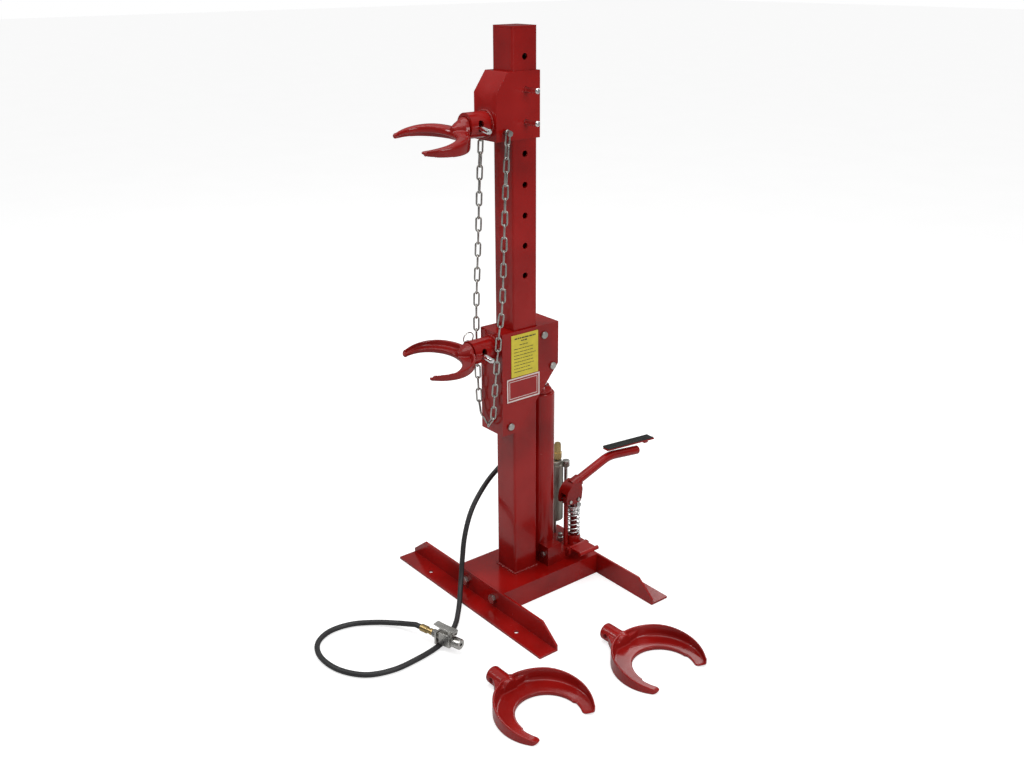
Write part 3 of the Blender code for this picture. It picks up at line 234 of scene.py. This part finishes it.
RED = (0.310, 0.0045, 0.0032)
PAINT = red_paint("red_paint", RED)
CAST_PAINT = red_paint("cast_red_paint", (0.275, 0.0060, 0.0045), 0.45, 0.6)
DARK_PAINT = red_paint("dark_red_paint", (0.16, 0.005, 0.005), 0.2, 0.4)
ZINC = plated("zinc_plate", (0.56, 0.55, 0.52), 0.24, 0.25)
CHAIN_ZINC = plated("chain_zinc", (0.50, 0.49, 0.46), 0.20, 0.30)
CHROME = plated("chromed_steel", (0.80, 0.80, 0.80), 0.10, 0.10, (0.2, 0.2, 1.5))
STEEL = plated("bare_steel", (0.42, 0.41, 0.39), 0.32, 0.3, (1.5, 0.2, 0.2))
ALUMINIUM = cast_metal("cast_aluminium", (0.44, 0.42, 0.37), 0.42, 0.55)
BRASS = cast_metal("brass", (0.56, 0.40, 0.17), 0.30, 0.30)
RUBBER = rubber("hose_rubber", (0.016, 0.016, 0.017), 0.50)
PAD_RUBBER = rubber("pad_rubber", (0.014, 0.015, 0.014), 0.62, 0.2)
YELLOW = film("yellow_label", (0.74, 0.62, 0.05), 0.42)
LABEL_RED = film("red_label", (0.34, 0.004, 0.004), 0.35)
WHITE = film("white_print", (0.80, 0.70, 0.66), 0.42)
BLACK = film("black_print", (0.045, 0.040, 0.015), 0.5)

SLOT_FINISH = {
    "red_paint": PAINT, "zinc_plate": ZINC, "chromed_steel": CHROME, "bare_steel": STEEL,
    "cast_aluminium": ALUMINIUM, "brass": BRASS, "black_rubber": RUBBER, "dark_red_plastic": DARK_PAINT,
    "yellow_label": YELLOW, "red_label": LABEL_RED}


# ---------------------------------------------------------------- curves and meshes
def catmull(a, b, c, d, knots, t):
    """The point at parameter t of one centripetal Catmull-Rom span."""
    def mix(p, q, lower, upper):
        return (p * (knots[upper] - t) + q * (t - knots[lower])) / (knots[upper] - knots[lower])

    ab, bc, cd = mix(a, b, 0, 1), mix(b, c, 1, 2), mix(c, d, 2, 3)
    return mix(mix(ab, bc, 0, 2), mix(bc, cd, 1, 3), 1, 2)


def smooth_route(points, spacing):
    """Points about a spacing apart on a centripetal Catmull-Rom curve through a route."""
    route = [Vector(p) for p in points]
    route = [2 * route[0] - route[1]] + route + [2 * route[-1] - route[-2]]
    found = []
    for a, b, c, d in zip(route, route[1:], route[2:], route[3:]):
        steps = max(2, round((c - b).length / spacing))
        knots = [0.0]
        for p, q in ((a, b), (b, c), (c, d)):
            knots.append(knots[-1] + math.sqrt((q - p).length))
        for k in range(steps):
            found.append(catmull(a, b, c, d, knots, knots[1] + (knots[2] - knots[1]) * k / steps))
    return found + [route[-2]]


def along(points, distance):
    """The point and direction at a distance along a run; outside it, the end leg goes on straight."""
    for p, q in zip(points, points[1:]):
        leg = (q - p).length
        if distance <= leg or q is points[-1]:
            return p + (q - p) * (distance / leg), (q - p).normalized()
        distance -= leg


def length_of(points):
    return sum((q - p).length for p, q in zip(points, points[1:]))


def piece(name, shape, finish, body, replaces=(), at=COLUMN, smooth=True):
    """A mesh piece from a bmesh drawn in the column's frame."""
    bmesh.ops.translate(shape, verts=shape.verts, vec=at)
    bmesh.ops.recalc_face_normals(shape, faces=shape.faces)
    mesh = bpy.data.meshes.new(name)
    shape.to_mesh(mesh)
    shape.free()
    if smooth:
        mesh.shade_smooth()
    mesh.materials.append(finish)
    made = bpy.data.objects.new(name, mesh)
    SCENE.collection.objects.link(made)
    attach(made, body)
    if replaces:
        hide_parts(*replaces)
    return made


def loft(shape, rings, closed=False):
    """Skin between rings of vertices; an open run gets a cap at each end."""
    pairs = list(zip(rings, rings[1:])) + ([(rings[-1], rings[0])] if closed else [])
    for lower, upper in pairs:
        for k in range(len(lower)):
            j = (k + 1) % len(lower)
            shape.faces.new((lower[k], lower[j], upper[j], upper[k]))
    if not closed:
        shape.faces.new(list(reversed(rings[0])))
        shape.faces.new(rings[-1])
    return shape


def sweep(shape, points, radius, sides=12, closed=False, up=Z):
    """A round bar along points; radius is a number or a function of the point's place in the run."""
    rings, side = [], None
    count = len(points)
    for k, point in enumerate(points):
        before = points[k - 1] if k or closed else point
        after = points[(k + 1) % count] if k + 1 < count or closed else point
        ahead = (after - before).normalized()
        side = (side if side is not None else ahead.cross(up if abs(ahead.dot(up)) < 0.95 else X))
        side = (side - ahead * side.dot(ahead)).normalized()
        other = ahead.cross(side)
        r = radius(k) if callable(radius) else radius
        rings.append([shape.verts.new(point + (side * math.cos(a) + other * math.sin(a)) * r)
                      for a in (math.tau * j / sides for j in range(sides))])
    return loft(shape, rings, closed)


def box_into(shape, low, high):
    corners = [shape.verts.new((x, y, z)) for x in (low[0], high[0]) for y in (low[1], high[1])
               for z in (low[2], high[2])]
    for face in ((0, 1, 3, 2), (4, 6, 7, 5), (0, 4, 5, 1), (2, 3, 7, 6), (0, 2, 6, 4), (1, 5, 7, 3)):
        shape.faces.new([corners[k] for k in face])


def turned(shape, profile, matrix, sides=48):
    """A closed solid of revolution about Z from (radius, height) pairs, carried by a matrix."""
    rings = [[shape.verts.new(matrix @ Vector((max(r, 1e-4) * math.cos(a), max(r, 1e-4) * math.sin(a), z)))
              for a in (math.tau * k / sides for k in range(sides))] for r, z in profile]
    return loft(shape, rings)


# ---------------------------------------------------------------- air hose
HOSE_R = 0.0058
VALVE_AT, VALVE_TURN = Vector((0.1130, -0.2820, 0.0265)), math.atan2(0.254, 0.967)
FERRULE_END, HOSE_LEAD, HOSE_GAP = -0.0690, 0.016, 0.0003  # along the valve, from its middle
HOSE_START = Vector((-0.048, 0.1465, 0.2900))
HOSE_ROUTE = [
    tuple(HOSE_START), (-0.066, 0.1455, 0.2905), (-0.092, 0.1300, 0.289), (-0.106, 0.0850, 0.279),
    (-0.102, 0.0350, 0.2540), (-0.090, -0.0200, 0.2270), (-0.078, -0.0700, 0.1820),
    (-0.065, -0.1010, 0.1300), (-0.054, -0.1170, 0.0820), (-0.044, -0.1280, 0.0470),
    (-0.028, -0.1430, 0.0230), (-0.005, -0.1620, 0.0112), (0.0250, -0.1880, 0.0064),
    (0.0560, -0.2170, 0.0060), (0.0860, -0.2570, 0.0060), (0.1030, -0.3000, 0.0060),
    (0.1120, -0.3560, 0.0060), (0.1120, -0.4150, 0.0060), (0.0910, -0.4660, 0.0060),
    (0.0400, -0.5000, 0.0060), (-0.0240, -0.5060, 0.0060), (-0.0690, -0.4860, 0.0060),
    (-0.0910, -0.4460, 0.0060), (-0.0860, -0.3960, 0.0060), (-0.0560, -0.3490, 0.0070),
    (-0.0180, -0.3190, 0.0120), (0.0080, -0.3092, 0.0190)]


def valve_place(ahead):
    return VALVE_AT + Matrix.Rotation(VALVE_TURN, 3, "Z") @ Vector((ahead, 0, 0))


def air_hose():
    straight, end = valve_place(FERRULE_END - HOSE_LEAD), valve_place(FERRULE_END - HOSE_GAP)
    run = smooth_route(HOSE_ROUTE + [tuple(straight)], 0.008) + [end]
    curve = bpy.data.curves.new("rubber_air_hose", "CURVE")
    curve.dimensions, curve.use_fill_caps = "3D", True
    curve.bevel_depth, curve.bevel_resolution = HOSE_R, 6
    spline = curve.splines.new("POLY")
    spline.points.add(len(run) - 1)
    for point, place in zip(spline.points, run):
        point.co = (*(place + COLUMN), 1)
    spline.use_smooth = True
    curve.materials.append(RUBBER)
    made = bpy.data.objects.new("rubber_air_hose", curve)
    SCENE.collection.objects.link(made)
    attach(made, "stand")
    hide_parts("air_hose")


air_hose()


# ---------------------------------------------------------------- safety chain
CHAIN_BOLT_Z = 1.0510
CHAIN_ROUTE = [
    (0.0440, -0.0540, CHAIN_BOLT_Z - 0.0110), (0.0440, -0.0605, 0.9300), (0.0440, -0.0660, 0.8000),
    (0.0440, -0.0720, 0.6900), (0.0390, -0.0765, 0.6350), (0.0340, -0.0775, 0.5830),
    (0.0230, -0.0775, 0.4950), (0.0150, -0.0775, 0.4400), (0.0020, -0.0775, 0.4250),
    (-0.0150, -0.0775, 0.4300), (-0.0280, -0.0775, 0.4450), (-0.0340, -0.0775, 0.4900),
    (-0.0370, -0.0775, 0.5500), (-0.0400, -0.0765, 0.6150), (-0.0440, -0.0720, 0.6900),
    (-0.0440, -0.0650, 0.8200), (-0.0440, -0.0595, 0.9400), (-0.0440, -0.0540, CHAIN_BOLT_Z - 0.0110)]
LINK_WIRE, LINK_BEND, LINK_PITCH = 0.0019, 0.0051, 0.0265
LINK_SEAM = 1.10  # a link is this much thicker at its weld
LINK_TOP = 0.0018  # how far above the route's ends the end links' middles stand, on their bolts
TWIST, TWIST_RUN = math.radians(-40), 0.16


def link_into(shape, middle, ahead, flat):
    """One long link: its length runs ahead, and it lies square to the flat direction."""
    flat = (flat - ahead * flat.dot(ahead)).normalized()
    across = ahead.cross(flat)
    straight = LINK_PITCH / 2 - (LINK_BEND - LINK_WIRE)
    run = []
    for end in (1, -1):
        for k in range(9):
            a = math.pi * k / 8 - math.pi / 2
            run.append(middle + ahead * end * (straight + LINK_BEND * math.cos(a))
                       + across * end * LINK_BEND * math.sin(a))
    sweep(shape, run, lambda k: LINK_WIRE * (LINK_SEAM if k == 0 else 1.0), 10, closed=True, up=flat)


def chain():
    shape = bmesh.new()
    run = smooth_route(CHAIN_ROUTE, 0.004)
    total = length_of(run) + 2 * LINK_TOP
    count = 2 * round((total / LINK_PITCH - 1) / 2) + 2
    step = total / (count - 1)
    for k in range(count):
        distance = k * step - LINK_TOP
        middle, ahead = along(run, distance)
        from_end = min(distance, total - distance)
        turn = TWIST * min(1.0, max(0.0, from_end / TWIST_RUN))
        turn += math.pi / 2 if k % 2 else 0
        flat = Matrix.Rotation(turn, 3, "Z") @ X
        if abs(ahead.z) < 0.75:
            flat = Matrix.Rotation(turn, 3, ahead) @ Y
        link_into(shape, middle, ahead, flat)
    piece("safety_chain_links", shape, CHAIN_ZINC, "stand", ["chain"])


chain()


# ---------------------------------------------------------------- return spring
PUMP_X, PUMP_Y = 0.034, 0.1425
SPRING_R, SPRING_WIRE, SPRING_LOW, SPRING_HIGH, SPRING_TURNS = 0.0140, 0.0016, 0.0943, 0.1677, 7
COIL_CROWDING = 0.028  # how much closer the end coils lie, as a share of the length


def return_spring():
    steps = 28
    low, high = SPRING_LOW + SPRING_WIRE, SPRING_HIGH - SPRING_WIRE
    run = []
    for k in range(SPRING_TURNS * steps + 1):
        share = k / (SPRING_TURNS * steps)
        eased = share - COIL_CROWDING * math.sin(math.tau * share)
        turn = math.tau * k / steps
        run.append(Vector((PUMP_X + SPRING_R * math.cos(turn), PUMP_Y + SPRING_R * math.sin(turn),
                           low + (high - low) * eased)))
    made = piece("foot_pump_spring", sweep(bmesh.new(), run, SPRING_WIRE, 12), CHROME, "stand",
                 ["return_spring"])
    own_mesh(made)


return_spring()


# ---------------------------------------------------------------- yokes
FORGING_VOXEL = 0.0012


def fused(name, shape, finish, body, replaces, at, turn, cutters=()):
    """A forged piece: overlapping closed shapes fused into one skin and worn smooth."""
    bmesh.ops.recalc_face_normals(shape, faces=shape.faces)
    raw = bpy.data.meshes.new("raw")
    shape.to_mesh(raw)
    # A forged piece: overlapping closed shapes fused into one skin and smoothed.
    shape.free()
    rough = bpy.data.objects.new("raw", raw)
    SCENE.collection.objects.link(rough)
    remesh = rough.modifiers.new("fuse", "REMESH")
    remesh.mode, remesh.voxel_size, remesh.use_smooth_shade = "VOXEL", FORGING_VOXEL, True
    soften = rough.modifiers.new("soften", "SMOOTH")
    soften.factor, soften.iterations = 0.5, 6
    tools = []
    for cutter in cutters:
        mesh = bpy.data.meshes.new("cutter")
        cutter.to_mesh(mesh)
        cutter.free()
        tool = bpy.data.objects.new("cutter", mesh)
        SCENE.collection.objects.link(tool)
        hole = rough.modifiers.new("hole", "BOOLEAN")
        hole.operation, hole.solver, hole.object = "DIFFERENCE", "EXACT", tool
        tools.append(tool)
    seen = rough.evaluated_get(bpy.context.evaluated_depsgraph_get())
    mesh = bpy.data.meshes.new_from_object(seen)
    mesh.name = name
    for spent in [rough, *tools]:
        bpy.data.objects.remove(spent)
    mesh.transform(Matrix.Translation(at) @ turn)
    mesh.shade_smooth()
    mesh.materials.clear()
    mesh.materials.append(finish)
    made = bpy.data.objects.new(name, mesh)
    SCENE.collection.objects.link(made)
    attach(made, body)
    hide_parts(*replaces)
    return made


# Across a yoke's arm: 0 at the gap to 1 at the rim, against height from the back to the rim's top
WORKING_SECTION = [
    (0, 0.36), (0.02, 0.20), (0.10, 0.07), (0.28, 0.01), (0.60, 0), (0.86, 0.06), (0.97, 0.20), (1, 0.36),
    (1, 0.80), (0.985, 0.93), (0.93, 1), (0.84, 0.99), (0.765, 0.90), (0.72, 0.68), (0.66, 0.53),
    (0.08, 0.52), (0.02, 0.49), (0, 0.44)]
SPARE_SECTION = [
    (0, 0.10), (0.015, 0.03), (0.05, 0), (0.95, 0), (0.985, 0.03), (1, 0.10), (1, 0.93), (0.992, 0.98),
    (0.965, 1), (0.92, 1), (0.895, 0.97), (0.885, 0.80), (0.865, 0.44), (0.83, 0.33), (0.77, 0.30),
    (0.05, 0.28), (0.015, 0.26), (0, 0.22)]


STEP_ANGLE = 1.72  # past here a spare yoke's arm narrows by a small step


def yoke_ring(shape, ring_r, gap_r, gap_shift, height, taper, back_taper, reach, stretch, matrix,
              outline=WORKING_SECTION, step=0.0):
    """A tapering open ring, root toward +Y and opening toward -Y, with a raised outer rim."""
    rings = []
    span = max(reach)

    def section(angle, shrink=1.0, advance=0.0):
        inner_angle = 0.97 * angle
        ease = max(0.0, (abs(angle) / span - 0.35) / 0.65) ** 1.5
        top, back = height * (1 - taper * ease), height * back_taper * ease
        along_outer, along_inner = math.cos(angle), math.cos(inner_angle)
        along_outer *= stretch[0] if along_outer < 0 else 1
        along_inner *= stretch[1] if along_inner < 0 else 1
        outer = Vector((ring_r * math.sin(angle), ring_r * along_outer, 0))
        inner = Vector((gap_r * math.sin(inner_angle), gap_r * along_inner - gap_shift, 0))
        across = outer - inner
        if abs(angle) > STEP_ANGLE:
            inner += across.normalized() * step
            across = outer - inner
        ahead = Vector((-across.y, across.x, 0)).normalized() * (-1 if angle > 0 else 1)
        middle = (outer + inner) / 2 + ahead * advance * across.length / 2
        mid_z = (top + back) / 2
        heights = [mid_z + (back + h * (top - back) - mid_z) * shrink for _, h in outline]
        return [shape.verts.new(matrix @ (middle + across * (s - 0.5) * shrink + Vector((0, 0, z))))
                for (s, _), z in zip(outline, heights)]

    for t in (86, 72, 55, 38, 20):
        rings.append(section(-reach[0], math.cos(math.radians(t)), math.sin(math.radians(t))))
    for k in range(61):
        rings.append(section(-reach[0] + (reach[0] + reach[1]) * k / 60))
    for t in (20, 38, 55, 72, 86):
        rings.append(section(reach[1], math.cos(math.radians(t)), math.sin(math.radians(t))))
    return loft(shape, rings)


YOKE_PIN_Y, SOCKET_END, SHANK_R = -0.104, -0.1262, 0.0182
UPPER_SOCKET_Z, LOWER_SOCKET_Z = 1.0673, 0.595
RING_Y, RING_R, GAP_R, GAP_SHIFT, RING_STRETCH = -0.2017, 0.0750, 0.0603, 0.0167, (1.10, 1.16)
ROCK, UPPER_DROOP = math.radians(9), math.radians(2.5)
TO_Y = Matrix.Rotation(-math.pi / 2, 4, "X")  # a turned shape's axis, from Z to Y


def working_yoke(name, body, socket_z, ring_z, flipped, reach):
    shape = bmesh.new()
    lift = Matrix.Translation((0, RING_Y - YOKE_PIN_Y - (0.0010 if flipped else 0), ring_z))
    if flipped:
        droop = (Matrix.Rotation(UPPER_DROOP, 3, "X") @ Matrix.Rotation(math.pi, 3, "Y")).to_4x4()
        yoke_ring(shape, RING_R, GAP_R, GAP_SHIFT, 0.0300, 0.24, 0.42, reach, RING_STRETCH, lift @ droop)
    else:
        yoke_ring(shape, RING_R, GAP_R, GAP_SHIFT, 0.0240, 0.28, 0.16, reach, RING_STRETCH, lift)
    root = SOCKET_END - 0.0006 - YOKE_PIN_Y
    hub_z = ring_z + (-0.011 if flipped else 0.011)
    stem = [(0, root - 0.016), (0.012, root - 0.014), (0.0175, root - 0.004), (SHANK_R, root),
            (SHANK_R, root + 0.012)]
    turned(shape, stem, TO_Y)
    hub = [(0, root - 0.031), (0.0085, root - 0.0290), (0.0150, root - 0.0200), (0.0205, root - 0.0095),
           (0.0232, root - 0.0010), (0.0150, root - 0.0006)]
    turned(shape, hub, Matrix.Translation((0, 0, 0.45 * hub_z)) @ TO_Y)
    fused(f"{name}_forging", shape, CAST_PAINT, body, [name], COLUMN + Vector((0, YOKE_PIN_Y, socket_z)),
          Matrix.Rotation(ROCK, 4, "Y"))


SPARE_SHANK_X = -0.0135
SPARES = (("spare_yoke_1", 0.4067, -0.2587, 0.0149), ("spare_yoke_2", 0.4375, 0.0230, 0.0243))


def spare_yoke(name, x, y, turn):
    shape = bmesh.new()
    yoke_ring(shape, 0.1000, 0.0629, 0.0103, 0.0364, 0.62, 0, (2.16, 2.16), (0.96, 1.03), Matrix.Identity(4),
              SPARE_SECTION, 0.0035)
    stem = [(0.0165, 0.0850), (0.0180, 0.0905), (0.0180, 0.1420), (0.0165, 0.1436)]
    turned(shape, stem, Matrix.Translation((SPARE_SHANK_X, 0, 0.0185)) @ TO_Y)
    web = [(SPARE_SHANK_X - 0.0172, 0.118), (SPARE_SHANK_X - 0.038, 0.084), (0.0300, 0.090),
           (SPARE_SHANK_X + 0.0172, 0.116)]
    loft(shape, [[shape.verts.new((px, py, z)) for px, py in web] for z in (0.0050, 0.0262)])
    hole = turned(bmesh.new(), [(0.0063, -0.04), (0.0063, 0.04)],
                  Matrix.Translation((SPARE_SHANK_X, 0.1270, 0.0185))
                  @ Matrix.Rotation(math.pi / 2, 4, "Y"), 32)
    bmesh.ops.recalc_face_normals(hole, faces=hole.faces)
    fused(f"{name}_forging", shape, CAST_PAINT, name, [name], COLUMN + Vector((x, y, 0)),
          Matrix.Rotation(math.pi / 2 + turn, 4, "Z"), [hole])


working_yoke("upper_yoke", "upper_yoke", UPPER_SOCKET_Z, -0.0065, True, (2.25, 2.08))
working_yoke("lower_yoke", "lower_yoke", LOWER_SOCKET_Z, -0.0100, False, (2.08, 2.25))
for spare in SPARES:
    spare_yoke(*spare)


# ---------------------------------------------------------------- weld beads
def bead(name, points, body, radius=0.0026, seed=1):
    """A hand-laid weld: a rippled bar round a closed run."""
    draw = random.Random(seed)
    run = []
    for p, q in zip(points, points[1:] + points[:1]):
        steps = max(1, round((q - p).length / 0.0011))
        run += [p + (q - p) * k / steps for k in range(steps)]
    wobble = [draw.uniform(-0.10, 0.10) for _ in run]
    piece(name, sweep(bmesh.new(), run, lambda k: radius * (1 + 0.16 * math.sin(k * 2.1) + wobble[k]), 8,
                      closed=True), CAST_PAINT, body)


def circle_y(radius, y, z, count=40):
    return [Vector((radius * math.cos(a), y, z + radius * math.sin(a)))
            for a in (math.tau * k / count for k in range(count))]


SOCKET_R, UPPER_FRONT, LOWER_FRONT, COLUMN_HALF, BASE_HEIGHT = 0.026, -0.0757, -0.067, 0.032, 0.050
PROUD = 0.0008  # how far a bead's middle stands off its joint
bead("upper_socket_weld", circle_y(SOCKET_R + 0.0010, UPPER_FRONT - PROUD, UPPER_SOCKET_Z), "stand", seed=3)
bead("lower_socket_weld", circle_y(SOCKET_R + 0.0010, LOWER_FRONT - PROUD, LOWER_SOCKET_Z),
     "lower_carriage", seed=5)
square = [Vector((sx * (COLUMN_HALF + PROUD), sy * (COLUMN_HALF + PROUD), BASE_HEIGHT + PROUD))
          for sx, sy in ((-1, -1), (1, -1), (1, 1), (-1, 1))]
bead("column_foot_weld", square, "stand", 0.0030, 7)


# ---------------------------------------------------------------- labels
def printed_lines():
    """Rows of short plain bars in place of words on the yellow plate."""
    draw = random.Random(11)
    low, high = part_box("data_plate")
    face = high.x
    shape = bmesh.new()
    rows = [(0.0085, 0.0030, 0.12, 0.9), (0.0145, 0.0030, 0.36, 0.62), (0.0235, 0.0016, 0.30, 0.66)]
    rows += [(0.0315 + 0.0074 * k, 0.0014, 0.10, draw.uniform(0.72, 0.92)) for k in range(8)]
    width = high.y - low.y
    for drop, tall, start, stop in rows:
        at, end = low.y + width * start, low.y + width * stop
        while at < end - 0.003:
            word = min(end - at, draw.uniform(0.003, 0.010))
            z = high.z - drop
            box_into(shape, (face - 0.0001, at, z - tall / 2), (face + 0.00012, at + word, z + tall / 2))
            at += word + draw.uniform(0.0010, 0.0018)
    piece("data_plate_print", shape, BLACK, "lower_carriage", at=NOWHERE, smooth=False)


def frame_into(shape, low, high, inset, thick, proud):
    """A flat rectangular border on a plate's +X face."""
    face = high.x
    y0, y1, z0, z1 = low.y + inset, high.y - inset, low.z + inset, high.z - inset
    rings = []
    for y_0, y_1, z_0, z_1 in ((y0, y1, z0, z1), (y0 + thick, y1 - thick, z0 + thick, z1 - thick)):
        for x in (face - 0.0002, face + proud):
            rings.append([shape.verts.new((x, y, z))
                          for y, z in ((y_0, z_0), (y_1, z_0), (y_1, z_1), (y_0, z_1))])
    outer_back, outer_front, inner_back, inner_front = rings
    loft(shape, [outer_back, outer_front, inner_front, inner_back], closed=True)


def name_plate_frame():
    low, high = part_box("name_plate")
    shape = bmesh.new()
    frame_into(shape, low, high, 0.0006, 0.0032, 0.00015)
    piece("name_plate_border", shape, WHITE, "lower_carriage", at=NOWHERE, smooth=False)
    shape = bmesh.new()
    frame_into(shape, low, high, 0.0072, 0.0014, 0.00012)
    piece("name_plate_inner_line", shape, WHITE, "lower_carriage", at=NOWHERE, smooth=False)


printed_lines()
name_plate_frame()


# ---------------------------------------------------------------- foot pedal pad
PEDAL_FRONT, PEDAL_REAR, PEDAL_Z, PEDAL_HALF, PEDAL_SLOPE = 0.240, 0.394, 0.2745, 0.0090, math.radians(-4.2)


def pedal_pad():
    """Rubber tread: a soft slab with a lip and a field of cross ribs."""
    length = PEDAL_REAR - PEDAL_FRONT
    half, end = PEDAL_HALF + 0.0006, length / 2
    tilt = Matrix.Translation(COLUMN + Vector((PUMP_X, (PEDAL_REAR + PEDAL_FRONT) / 2, PEDAL_Z))) @ \
        Matrix.Rotation(PEDAL_SLOPE, 4, "X")
    shape = bmesh.new()
    box_into(shape, (-half, -end, 0.0043), (half, end - 0.006, 0.0072))
    count = 40
    for k in range(count):
        y = -end + 0.0035 + (length - 0.013) * k / (count - 1)
        box_into(shape, (-half + 0.0014, y - 0.0009, 0.0070), (half - 0.0014, y + 0.0009, 0.0084))
    for side in (-1, 1):
        x = side * (half - 0.0006)
        box_into(shape, (x - 0.0006, -end + 0.0002, 0.0070), (x + 0.0006, end - 0.0062, 0.0085))
    bmesh.ops.transform(shape, verts=shape.verts, matrix=tilt)
    made = piece("pedal_tread", shape, PAD_RUBBER, "foot_lever", ["pedal_pad"],
                 at=NOWHERE, smooth=False)
    soften = made.modifiers.new("round", "BEVEL")
    soften.width, soften.segments, soften.limit_method = 0.0003, 2, "ANGLE"


pedal_pad()


# ---------------------------------------------------------------- carried-over nodes
BEVEL = {
    "column": 0.0014, "column_cap": 0.0032, "upper_carriage": 0.0013, "lower_carriage": 0.0013,
    "base_channel": 0.0012, "front_foot": 0.0010, "rear_foot": 0.0010, "pump_block": 0.0011,
    "lever_socket": 0.0016, "pedal_plate": 0.0008, "release_pedal": 0.0006, "valve_body": 0.0006,
    "valve_lever": 0.0005, "motor_cap": 0.0009, "data_plate": 0.00015, "name_plate": 0.00015}
CAST_NODES = {"lever_socket", "pump_block", "motor_cap"}


def dress(node, finish):
    """Materials, rounded edges and even shading; the node's own mesh points stay as they are."""
    made = frame["nodes"][node]
    made.data.materials.clear()
    made.data.materials.append(finish)
    made.data.shade_smooth()
    weld = made.modifiers.new("weld", "WELD")
    weld.merge_threshold = 2e-6
    plane = made.modifiers.new("planes", "DECIMATE")
    plane.decimate_type, plane.angle_limit = "DISSOLVE", math.radians(0.6)
    rounded = made.modifiers.new("edges", "BEVEL")
    rounded.width, rounded.segments = BEVEL.get(node, 0.0003), 2
    rounded.limit_method, rounded.angle_limit = "ANGLE", math.radians(35)
    rounded.use_clamp_overlap = True
    even = made.modifiers.new("even", "WEIGHTED_NORMAL")
    even.mode, even.weight = "FACE_AREA_WITH_ANGLE", 60


slots = {part["node"]: part["material_slot"] for part in frame["record"]["subparts"]}
for node in sorted(frame["nodes"]):
    dress(node, CAST_PAINT if node in CAST_NODES and slots[node] == "red_paint" else SLOT_FINISH[slots[node]])


# ---------------------------------------------------------------- studio
FLOOR_GLOW, WALL_LIGHT, CEILING_LIGHT = 0.64, 0.10, 0.62  # the glow is for the camera only
LOW_CEILING = 1.5  # the walls' upper part, as a multiple of WALL_LIGHT
STUDIO_LIGHTS = (("key", (-1.5, -2.2, 2.6), 0.9, 24), ("fill", (2.9, 0.2, 1.9), 1.3, 30),
                 ("top", (0.3, -0.4, 3.4), 2.2, 34), ("rim", (-1.2, 2.4, 2.2), 1.2, 14))


def studio():
    floor_shape = bmesh.new()
    bmesh.ops.create_grid(floor_shape, x_segments=2, y_segments=2, size=30)
    mesh = bpy.data.meshes.new("floor")
    floor_shape.to_mesh(mesh)
    floor_shape.free()
    floor = bpy.data.objects.new("floor", mesh)
    floor.location.z = -0.0004
    SCENE.collection.objects.link(floor)
    s = Shader("pale_floor", 0.80)
    tone = s.ramp(s.noise(3.0, 2.0), [(0.3, (0.62, 0.62, 0.62)), (0.7, (0.64, 0.64, 0.64))])
    to_camera = s.node("LightPath").outputs["Is Camera Ray"]
    glow = s.maths("MULTIPLY", to_camera, FLOOR_GLOW)
    mesh.materials.append(s.set(Base_Color=tone, Emission_Color=(1, 1, 1, 1), Emission_Strength=glow))

    world = bpy.data.worlds.new("studio")
    world.use_nodes = True
    tree = world.node_tree
    make = tree.nodes.new
    background, out = tree.nodes["Background"], tree.nodes["World Output"]
    height, split = make("ShaderNodeTexCoord"), make("ShaderNodeSeparateXYZ")
    ramp = make("ShaderNodeValToRGB")
    stops = ramp.color_ramp.elements
    stops[0].position, stops[0].color = 0.0, grey(WALL_LIGHT)
    stops[1].position, stops[1].color = 0.75, grey(CEILING_LIGHT)
    stops.new(0.28).color = grey(WALL_LIGHT * LOW_CEILING)
    tree.links.new(height.outputs["Generated"], split.inputs[0])
    tree.links.new(split.outputs["Z"], ramp.inputs[0])
    tree.links.new(ramp.outputs[0], background.inputs["Color"])
    seen, plain, mix = make("ShaderNodeLightPath"), make("ShaderNodeBackground"), make("ShaderNodeMixShader")
    plain.inputs["Color"].default_value = (1, 1, 1, 1)
    tree.links.new(seen.outputs["Is Camera Ray"], mix.inputs[0])
    tree.links.new(background.outputs[0], mix.inputs[1])
    tree.links.new(plain.outputs[0], mix.inputs[2])
    tree.links.new(mix.outputs[0], out.inputs["Surface"])
    SCENE.world = world
    aim_at = COLUMN + Vector((0, 0, 0.6))
    for name, place, size, power in STUDIO_LIGHTS:
        light = bpy.data.lights.new(name, "AREA")
        light.energy, light.size = power, size
        lamp = bpy.data.objects.new(name, light)
        lamp.location = COLUMN + Vector(place)
        lamp.rotation_euler = (aim_at - lamp.location).to_track_quat("-Z", "Y").to_euler()
        SCENE.collection.objects.link(lamp)
    SCENE.view_settings.view_transform = "Standard"


studio()
